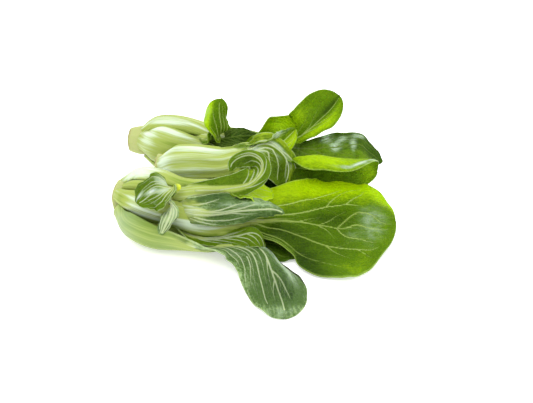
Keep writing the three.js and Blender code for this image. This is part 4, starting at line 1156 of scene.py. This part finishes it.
def leaf_shell(sheet, seed):
    """A leaf's closed mesh: both faces, a rounded rim between them, and the veins."""
    rows, columns = sheet.pale.shape
    place = np.concatenate([sheet.flat, np.full((rows, columns, 1), seed * SEED_SPACING)], -1)
    shell = Shell()

    def values(inner, where=slice(None), pale=None, vein=None):
        flat = place.reshape(-1, 3)[where]
        return dict(
            flat=flat,
            pale=sheet.pale.ravel()[where] if pale is None else pale,
            vein=sheet.trace.ravel()[where] if vein is None else vein,
            tone=sheet.tone.ravel()[where],
            haze=sheet.haze.ravel()[where],
            inner=np.full(len(flat), float(inner)),
            rim=sheet.rim.ravel()[where],
        )

    shell.add(sheet.inner, grid_faces(rows, columns, False), **values(1))
    shell.add(sheet.outer, grid_faces(rows, columns, True), **values(0))
    loop = rim_loop(rows, columns)
    inner, outer = sheet.inner.reshape(-1, 3)[loop], sheet.outer.reshape(-1, 3)[loop]
    middle = (inner + outer) / 2
    round_loop = unit(np.roll(middle, -1, 0) - np.roll(middle, 1, 0))
    away = unit(np.cross(round_loop, sheet.normal.reshape(-1, 3)[loop]))
    bulge = np.linalg.norm(inner - outer, axis=1, keepdims=True) * 0.35
    count = rows * columns
    ring = np.arange(len(loop))
    following = np.roll(ring, -1)
    edge = 2 * count
    strips = [
        np.stack([loop, edge + ring, edge + following, np.roll(loop, -1)], 1),
        np.stack([edge + ring, count + loop, count + np.roll(loop, -1), edge + following], 1),
    ]
    shell.add(middle + away * bulge, [], **values(0.5, loop))
    shell.faces.extend([tuple(int(k) for k in face) for strip in strips for face in strip])
    for path, start, end in sheet.veins:
        add_vein(shell, sheet, path, start, end, seed)
    return shell


def add_vein(shell, sheet, path, start, end, seed):
    """A tapered tube that stands out a little on both faces of the blade."""
    flat = sheet.on_flat(path)
    long = np.linalg.norm(np.diff(flat, axis=0), axis=1).sum()
    count = max(VEIN_FEWEST, int(long / VEIN_STEP))
    path = resample(path, count)
    path[:, 1] = np.clip(path[:, 1], -VEIN_MARGIN, VEIN_MARGIN)
    inner, outer = sheet.look_up(sheet.inner, path), sheet.look_up(sheet.outer, path)
    normal = unit(sheet.look_up(sheet.normal, path))
    centre = (inner + outer) / 2
    side = unit(np.cross(np.gradient(centre, axis=0), normal))
    share = np.linspace(0, 1, count)
    rounding = np.sqrt(np.clip((1 - share) / VEIN_ROUNDING, VEIN_BLUNT, 1))
    width = mix(start, end, share) * np.where(share > 1 - VEIN_ROUNDING, rounding, 1)
    lift = np.minimum(width / VEIN_HIGH, 1)
    depth = np.linalg.norm(inner - outer, axis=1) / 2
    angle = 2 * np.pi * np.arange(VEIN_SIDES) / VEIN_SIDES
    up, out = np.sin(angle), np.cos(angle)
    height = depth[:, None] + np.where(up > 0, VEIN_LIFT_IN, VEIN_LIFT_OUT) * lift[:, None]
    rings = (
        centre[:, None] + side[:, None] * (width[:, None] * out)[..., None]
        + normal[:, None] * (height * up)[..., None]
    )
    each = np.ones((count, VEIN_SIDES))
    place = np.concatenate([sheet.on_flat(path), np.full((count, 1), seed * SEED_SPACING)], 1)
    shell.add(
        rings, tube_faces(count, VEIN_SIDES),
        flat=np.repeat(place, VEIN_SIDES, 0),
        pale=np.zeros(count * VEIN_SIDES),
        vein=(each * np.clip(VEIN_MARK[0] + width / VEIN_MARK[1], 0, 1)[:, None]).ravel(),
        tone=np.repeat(sheet.look_up(sheet.tone[..., None], path), VEIN_SIDES),
        haze=np.repeat(sheet.look_up(sheet.haze[..., None], path), VEIN_SIDES),
        inner=(each * (up > VEIN_INNER_FROM)).ravel(),
        rim=(each * np.abs(path[:, 1:2])).ravel(),
    )


def crown_shell(head):
    """The short cut stem: a lathed form with a slightly hollow, ringed cut face."""
    stub = head["stub"]
    outline = [[CROWN_RADIUS * share, depth - stub] for share, depth in CROWN_HOLLOW]
    outline += [
        [CROWN_RADIUS * CROWN_FACE, -stub - CROWN_BEVEL], [CROWN_RADIUS * CROWN_RIM, -stub + CROWN_BEVEL],
        [CROWN_RADIUS * CROWN_WAIST[0], -stub * CROWN_WAIST[1]], [CROWN_RADIUS, 0],
        [CROWN_RADIUS * CROWN_SHOULDER[0], CROWN_LENGTH * CROWN_SHOULDER[1]],
        [CROWN_RADIUS * CROWN_NOSE[0], CROWN_LENGTH * CROWN_NOSE[1]], [0, CROWN_LENGTH],
    ]
    profile = resample(np.array(outline, float), CROWN_RINGS)
    profile[:, 0] = np.maximum(profile[:, 0], CROWN_AXIS)
    butt, along, away, over = head_frame(head)
    turn = 2 * np.pi * np.arange(CROWN_SIDES) / CROWN_SIDES
    uneven = 1 + sum(height * np.sin(lobes * turn + start) for lobes, height, start in CROWN_LOBES)
    radial = np.outer(np.cos(turn) * uneven, away) + np.outer(np.sin(turn) * uneven, over)
    points = butt + profile[:, :1][:, None] * radial[None] + profile[:, 1][:, None, None] * along
    shell = Shell()
    from_cut = np.repeat(profile[:, 1] + stub, CROWN_SIDES)
    from_axis = np.repeat(profile[:, 0], CROWN_SIDES)
    faces = tube_faces(CROWN_RINGS, CROWN_SIDES, flip=True)
    shell.add(points, faces, from_cut=from_cut, from_axis=from_axis)
    return shell


def bud_shell():
    """A closed bud with four furrows between its sepals."""
    tilt = np.linspace(BUD_END, np.pi - BUD_END, BUD_RINGS)
    turn = 2 * np.pi * np.arange(BUD_SIDES) / BUD_SIDES
    furrow = 1 - BUD_FURROW * np.abs(np.cos(2 * turn)) ** BUD_FURROW_POWER
    radius = BUD_RADIUS * np.sin(tilt) ** BUD_FULLNESS
    points = np.zeros((BUD_RINGS, BUD_SIDES, 3))
    points[..., 0] = -BUD_RADIUS * BUD_STRETCH * np.cos(tilt)[:, None]
    points[..., 1] = radius[:, None] * np.cos(turn) * furrow
    points[..., 2] = radius[:, None] * np.sin(turn) * furrow
    points += BUD_AT
    shell = Shell()
    shell.add(points, tube_faces(BUD_RINGS, BUD_SIDES), from_tip=np.repeat(np.cos(tilt), BUD_SIDES))
    return shell


# Materials
class Tree:
    """Writes a material's nodes."""

    def __init__(self, name):
        self.material = bpy.data.materials.new(name)
        self.material.use_nodes = True
        self.nodes = self.material.node_tree.nodes
        self.links = self.material.node_tree.links
        self.nodes.clear()
        self.shader = self.nodes.new("ShaderNodeBsdfPrincipled")
        self.output = self.nodes.new("ShaderNodeOutputMaterial")
        self.links.new(self.shader.outputs[0], self.output.inputs[0])

    def node(self, kind, inputs, **settings):
        node = self.nodes.new(kind)
        for key, value in settings.items():
            setattr(node, key, value)
        for key, value in inputs.items():
            self.feed(node.inputs[key], value)
        return node

    def feed(self, socket, value):
        """Gives an input a value, or links another node's output to it."""
        if isinstance(value, bpy.types.NodeSocket):
            self.links.new(value, socket)
        else:
            socket.default_value = value

    def attribute(self, name, vector=False):
        node = self.node("ShaderNodeAttribute", {}, attribute_name=name)
        return node.outputs["Vector" if vector else "Fac"]

    def mix(self, share, a, b):
        node = self.node("ShaderNodeMix", {}, data_type="RGBA")
        for key, value in ((0, share), (6, a), (7, b)):
            self.feed(node.inputs[key], value)
        return node.outputs[2]

    def shades(self, value, colours):
        """Three colours in a row, dark to light, for a value from 0 to 1."""
        dark = self.mix(self.ramp(value, 0.0, 0.5), colours[0], colours[1])
        return self.mix(self.ramp(value, 0.5, 1.0), dark, colours[2])

    def blend(self, share, other):
        """Mixes another shader into the material's surface."""
        mixed = self.node("ShaderNodeMixShader", {0: share, 1: self.shader.outputs[0], 2: other.outputs[0]})
        self.links.new(mixed.outputs[0], self.output.inputs[0])

    def math(self, operation, a, b=0.0, clamp=False):
        node = self.node("ShaderNodeMath", {0: a, 1: b}, operation=operation, use_clamp=clamp)
        return node.outputs[0]

    def ramp(self, value, low, high, to_low=0.0, to_high=1.0):
        inputs = {"Value": value, 1: low, 2: high, 3: to_low, 4: to_high}
        return self.node("ShaderNodeMapRange", inputs, interpolation_type="SMOOTHSTEP").outputs[0]

    def stretched(self, vector, scale):
        return self.node("ShaderNodeMapping", {"Vector": vector, "Scale": scale}).outputs[0]

    def noise(self, vector, scale, detail=2.0, rough=0.5):
        inputs = {"Vector": vector, "Scale": scale, "Detail": detail, "Roughness": rough}
        return self.node("ShaderNodeTexNoise", inputs).outputs["Fac"]

    def net(self, vector, scale):
        inputs = {"Vector": vector, "Scale": scale, "Randomness": 0.9}
        return self.node("ShaderNodeTexVoronoi", inputs, feature="DISTANCE_TO_EDGE").outputs["Distance"]

    def bump(self, height, strength, distance, normal=None):
        inputs = {"Height": height, "Strength": strength, "Distance": distance}
        if normal is not None:
            inputs["Normal"] = normal
        return self.node("ShaderNodeBump", inputs).outputs[0]

    def set(self, **inputs):
        for key, value in inputs.items():
            self.feed(self.shader.inputs[key.replace("_", " ")], value)


def leaf_material(name, look):
    tree = Tree(name)
    flat = tree.attribute("flat", vector=True)
    pale, vein, tone = tree.attribute("pale"), tree.attribute("vein"), tree.attribute("tone")
    inner, rim, haze = tree.attribute("inner"), tree.attribute("rim"), tree.attribute("haze")

    # Stalk: fine streaks along it over the slow change from greenish to pale, with the tone's painted light
    # and shade and the bloom's painted sheen
    streaks = tree.noise(tree.stretched(flat, (0.03, 0.9, 1)), 1.0, 4.0, 0.6)
    broad = tree.noise(tree.stretched(flat, (0.012, 0.16, 1)), 1.0, 2.0)
    lightness = tree.math("ADD", tone, tree.ramp(streaks, 0.3, 0.7, -0.12, 0.12))
    lightness = tree.math("ADD", lightness, tree.ramp(broad, 0.3, 0.7, -0.12, 0.12))
    # Wax bloom with painted sheen, whitening to painted highlights where it is thickest
    bloom_and_sheen_colour = tree.mix(tree.ramp(haze, 1.0, 2.0), BLOOM_AND_SHEEN, THICK_BLOOM_AND_HIGHLIGHT)
    thin = tree.ramp(haze, 0.0, 1.0)
    stalk = tree.mix(thin, tree.shades(lightness, STALK), bloom_and_sheen_colour)

    # Blade: slow patches, cells between a net of fine veins, wax bloom with painted sheen streaks and
    # highlights, a lighter margin
    patches = tree.noise(flat, 0.07, 4.0, 0.6)
    grain = tree.noise(flat, 0.8, 3.0, 0.6)
    lines = tree.noise(tree.stretched(flat, (0.09, 0.7, 1)), 1.0, 3.0, 0.6)
    cells = tree.net(tree.stretched(flat, (0.7, 1.1, 1)), 0.42)
    # The tone brings the listed light and dark places here, partly painted light and shade
    lightness = tree.math("ADD", tone, tree.ramp(patches, 0.3, 0.7, -0.05, 0.05))
    rough = look["texture"]
    lightness = tree.math("ADD", lightness, tree.ramp(grain, 0.3, 0.7, -0.05 * rough, 0.05 * rough))
    lightness = tree.math("ADD", lightness, tree.ramp(lines, 0.3, 0.7, -0.10 * rough, 0.10 * rough))
    lightness = tree.math("ADD", lightness, tree.ramp(cells, 0.0, 0.35, 0.10 * rough, -0.05 * rough))
    green = tree.mix(inner, tree.shades(lightness, look["outer"]), tree.shades(lightness, look["inner"]))
    # The bloom lies in streaks along slow folds: painted sheen on the crumples
    folds = tree.noise(tree.stretched(flat, (0.10, 0.22, 1)), 1.0, 3.0, 0.6)
    streaky = tree.math("MULTIPLY", haze, tree.ramp(folds, 0.3, 0.65, 0.3, 1.2))
    green = tree.mix(tree.ramp(streaky, 0.0, 1.0), green, bloom_and_sheen_colour)
    # Veins darken where the tone is low, so they take on its painted shade
    pale_vein = tree.mix(tree.ramp(tone, 0.0, 0.8, 0.6, 0.0), look["vein"], look["inner"][1])
    green = tree.mix(tree.ramp(rim, 0.96, 1.0, 0.0, 0.4), green, look["vein"])
    green = tree.mix(tree.ramp(vein, 0.1, 0.8, 0.0, 0.95), green, pale_vein)
    colour = tree.mix(pale, green, stalk)

    height = tree.math("MULTIPLY", tree.ramp(cells, 0.0, 0.25), tree.math("SUBTRACT", 1.0, pale))
    height = tree.math("ADD", height, tree.math("MULTIPLY", streaks, 0.6))
    normal = tree.bump(height, 0.8, 0.00035)
    tree.set(
        Base_Color=colour,
        Roughness=tree.ramp(pale, 0.0, 1.0, 0.5, 0.38),
        Normal=normal,
        Specular_IOR_Level=look["gloss"],
        Subsurface_Weight=0.2,
        Subsurface_Radius=(0.9, 1.3, 0.2),
        Subsurface_Scale=0.0016,
    )
    # Light from behind comes through the blade, less through veins and stalk, and more where the tone's
    # painted light is high
    glow = tree.mix(tree.ramp(tone, 0.0, 1.0, 0.3, 1.0), look["outer"][0], look["glow"])
    through = {"Color": tree.mix(pale, glow, STALK[1]), "Normal": normal}
    backlit = tree.node("ShaderNodeBsdfTranslucent", through)
    share = tree.ramp(pale, 0.0, 1.0, look["through"], 0.08)
    tree.blend(share, backlit)
    return tree.material


def crown_material():
    tree = Tree("cut_stem")
    place = tree.node("ShaderNodeTexCoord", {}).outputs["Object"]
    from_cut, from_axis = tree.attribute("from_cut"), tree.attribute("from_axis")
    fibres = tree.noise(place, 900.0, 4.0, 0.7)
    blotches = tree.noise(place, 180.0, 3.0)
    dried = tree.math("MULTIPLY", tree.ramp(from_cut, 0.0, 2.5, 1.0, 0.0), tree.ramp(blotches, 0.3, 0.6))
    rings = tree.math("SINE", tree.math("MULTIPLY", from_axis, 2.2))
    colour = tree.mix(tree.ramp(fibres, 0.35, 0.7, 0.0, 0.6), CROWN_CREAM, STALK[1])
    colour = tree.mix(tree.math("MULTIPLY", dried, 0.9), colour, CROWN_BROWN)
    height = tree.math("ADD", fibres, tree.math("MULTIPLY", rings, 0.2))
    tree.set(
        Base_Color=colour,
        Roughness=0.62,
        Normal=tree.bump(height, 0.6, 0.0004),
        Subsurface_Weight=0.25,
        Subsurface_Radius=(0.9, 1.2, 0.5),
        Subsurface_Scale=0.002,
    )
    return tree.material


def bud_material():
    tree = Tree("flower_bud")
    place = tree.node("ShaderNodeTexCoord", {}).outputs["Object"]
    speckle = tree.noise(place, 2500.0, 2.0)
    colour = tree.mix(tree.ramp(speckle, 0.4, 0.7, 0.0, 0.5), BUD_YELLOW, LOOKS["bright"]["glow"])
    green_end = tree.ramp(tree.attribute("from_tip"), -1.0, 0.2, 0.0, 0.5)
    colour = tree.mix(green_end, colour, LOOKS["bright"]["inner"][1])
    tree.set(
        Base_Color=colour,
        Roughness=0.55,
        Normal=tree.bump(speckle, 0.4, 0.0002),
        Subsurface_Weight=0.3,
        Subsurface_Radius=(1.0, 1.0, 0.2),
        Subsurface_Scale=0.0015,
    )
    return tree.material


def floor_material():
    tree = Tree("pale_floor")
    place = tree.node("ShaderNodeTexCoord", {}).outputs["Object"]
    mottle = tree.noise(place, 3.0, 2.0)
    colour = tree.mix(tree.ramp(mottle, 0.3, 0.7, 0.0, 0.3), FLOOR_WHITE, (0.96, 0.96, 0.96, 1))
    tree.set(Base_Color=colour, Roughness=0.8, Emission_Color=FLOOR_WHITE, Emission_Strength=TABLE_GLOW)
    return tree.material


# Putting it together
def add_piece(name, mesh, material, node):
    """Puts a finished mesh into the scene in place of its node."""
    mesh.materials.append(material)
    piece = bpy.data.objects.new(name, mesh)
    bpy.context.scene.collection.objects.link(piece)
    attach(piece, BODY)
    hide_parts(node)


def layout_to_frame():
    """How far the frame lies from the leaves' layout, at the low and high corner of one crown."""
    outline = [[CROWN_RADIUS * CROWN_FACE, -HEADS["middle"]["stub"] - CROWN_BEVEL], [0, CROWN_LENGTH]]
    outline += [[CROWN_RADIUS, 0], [CROWN_RADIUS * CROWN_NOSE[0], CROWN_LENGTH * CROWN_NOSE[1]]]
    butt, along, away, over = head_frame(HEADS["middle"])
    corners = [
        butt + along * reach + (away * a + over * b) * radius
        for radius, reach in outline for a, b in ((1, 0), (-1, 0), (0, 1), (0, -1))
    ]
    low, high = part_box("middle_crown")
    return np.array(low) / MM - np.min(corners, 0), np.array(high) / MM - np.max(corners, 0)


def look_at(thing, place, target):
    thing.location = Vector(place)
    thing.rotation_euler = (Vector(target) - Vector(place)).to_track_quat("-Z", "Y").to_euler()


def add_area_light(name, place, target, size, power, colour):
    data = bpy.data.lights.new(name, "AREA")
    data.shape = "DISK"
    data.size = size
    data.energy = power
    data.color = colour
    light = bpy.data.objects.new(name, data)
    bpy.context.scene.collection.objects.link(light)
    look_at(light, place, target)


low_shift, high_shift = layout_to_frame()
move = (low_shift + high_shift) / 2
print("layout to frame", low_shift, high_shift)

materials = {name: leaf_material(f"leaf_{name}", look) for name, look in LOOKS.items()}
triangles = 0
for seed, leaf in enumerate(LEAVES, start=1):
    shell = leaf_shell(Sheet(leaf, seed), seed)
    mesh = shell.mesh(leaf["name"] + "_fine", move)
    add_piece(leaf["name"] + "_fine", mesh, materials[leaf["look"]], leaf["name"])
    mesh.calc_loop_triangles()
    triangles += len(mesh.loop_triangles)
    print(leaf["name"], len(mesh.loop_triangles))
print("triangles", triangles)

cut_stem = crown_material()
for name, head in HEADS.items():
    node = f"{name}_crown"
    add_piece(f"{node}_fine", crown_shell(head).mesh(f"{node}_fine", move), cut_stem, node)
bud_mesh = bud_shell().mesh("front_bud_fine", move)
add_piece("front_bud_fine", bud_mesh, bud_material(), "front_bud")

# Floor
FLOOR_SIDE = 6.0
floor_mesh = bpy.data.meshes.new("floor")
far = FLOOR_SIDE / 2
floor_mesh.from_pydata([(-far, -far, 0), (far, -far, 0), (far, far, 0), (-far, far, 0)], [], [(0, 1, 2, 3)])
floor_mesh.materials.append(floor_material())
floor = bpy.data.objects.new("floor", floor_mesh)
bpy.context.scene.collection.objects.link(floor)

# Light: an even white surrounding, with soft windows above, to the right and behind, in metres
WINDOW_WHITE = (1.0, 1.0, 0.98)
aim = np.array([0, 6, 24]) * MM
world = bpy.data.worlds.new("studio")
world.use_nodes = True
world.node_tree.nodes["Background"].inputs["Color"].default_value = (1.0, 1.0, 1.0, 1)
world.node_tree.nodes["Background"].inputs["Strength"].default_value = 1.0
bpy.context.scene.world = world
for name, place, size, power in (
    ("top_window", (-0.3, -0.35, 1.5), 1.4, 18.0),
    ("side_window", (1.2, -0.3, 0.5), 0.8, 5.0),
    ("back_window", (0.2, 1.2, 0.7), 0.7, 5.0),
):
    add_area_light(name, place, aim, size, power, WINDOW_WHITE)

# Camera: 35 degrees above the table, looking along +Y
CAMERA_TARGET = np.array([0.0, 6.0, 24.0])
CAMERA_DISTANCE = 611.0
CAMERA_ELEVATION = math.radians(35)
CAMERA_LENS = 55.0
CAMERA_NEAREST = 0.01  # in metres
camera_data = bpy.data.cameras.new("camera")
camera_data.lens = CAMERA_LENS
camera_data.clip_start = CAMERA_NEAREST
camera = bpy.data.objects.new("camera", camera_data)
bpy.context.scene.collection.objects.link(camera)
target = (CAMERA_TARGET + move) * MM
back = np.array([0.0, -math.cos(CAMERA_ELEVATION), math.sin(CAMERA_ELEVATION)])
look_at(camera, target + back * CAMERA_DISTANCE * MM, target)
bpy.context.scene.camera = camera
bpy.context.scene.view_settings.view_transform = "Standard"

bpy.context.view_layer.update()
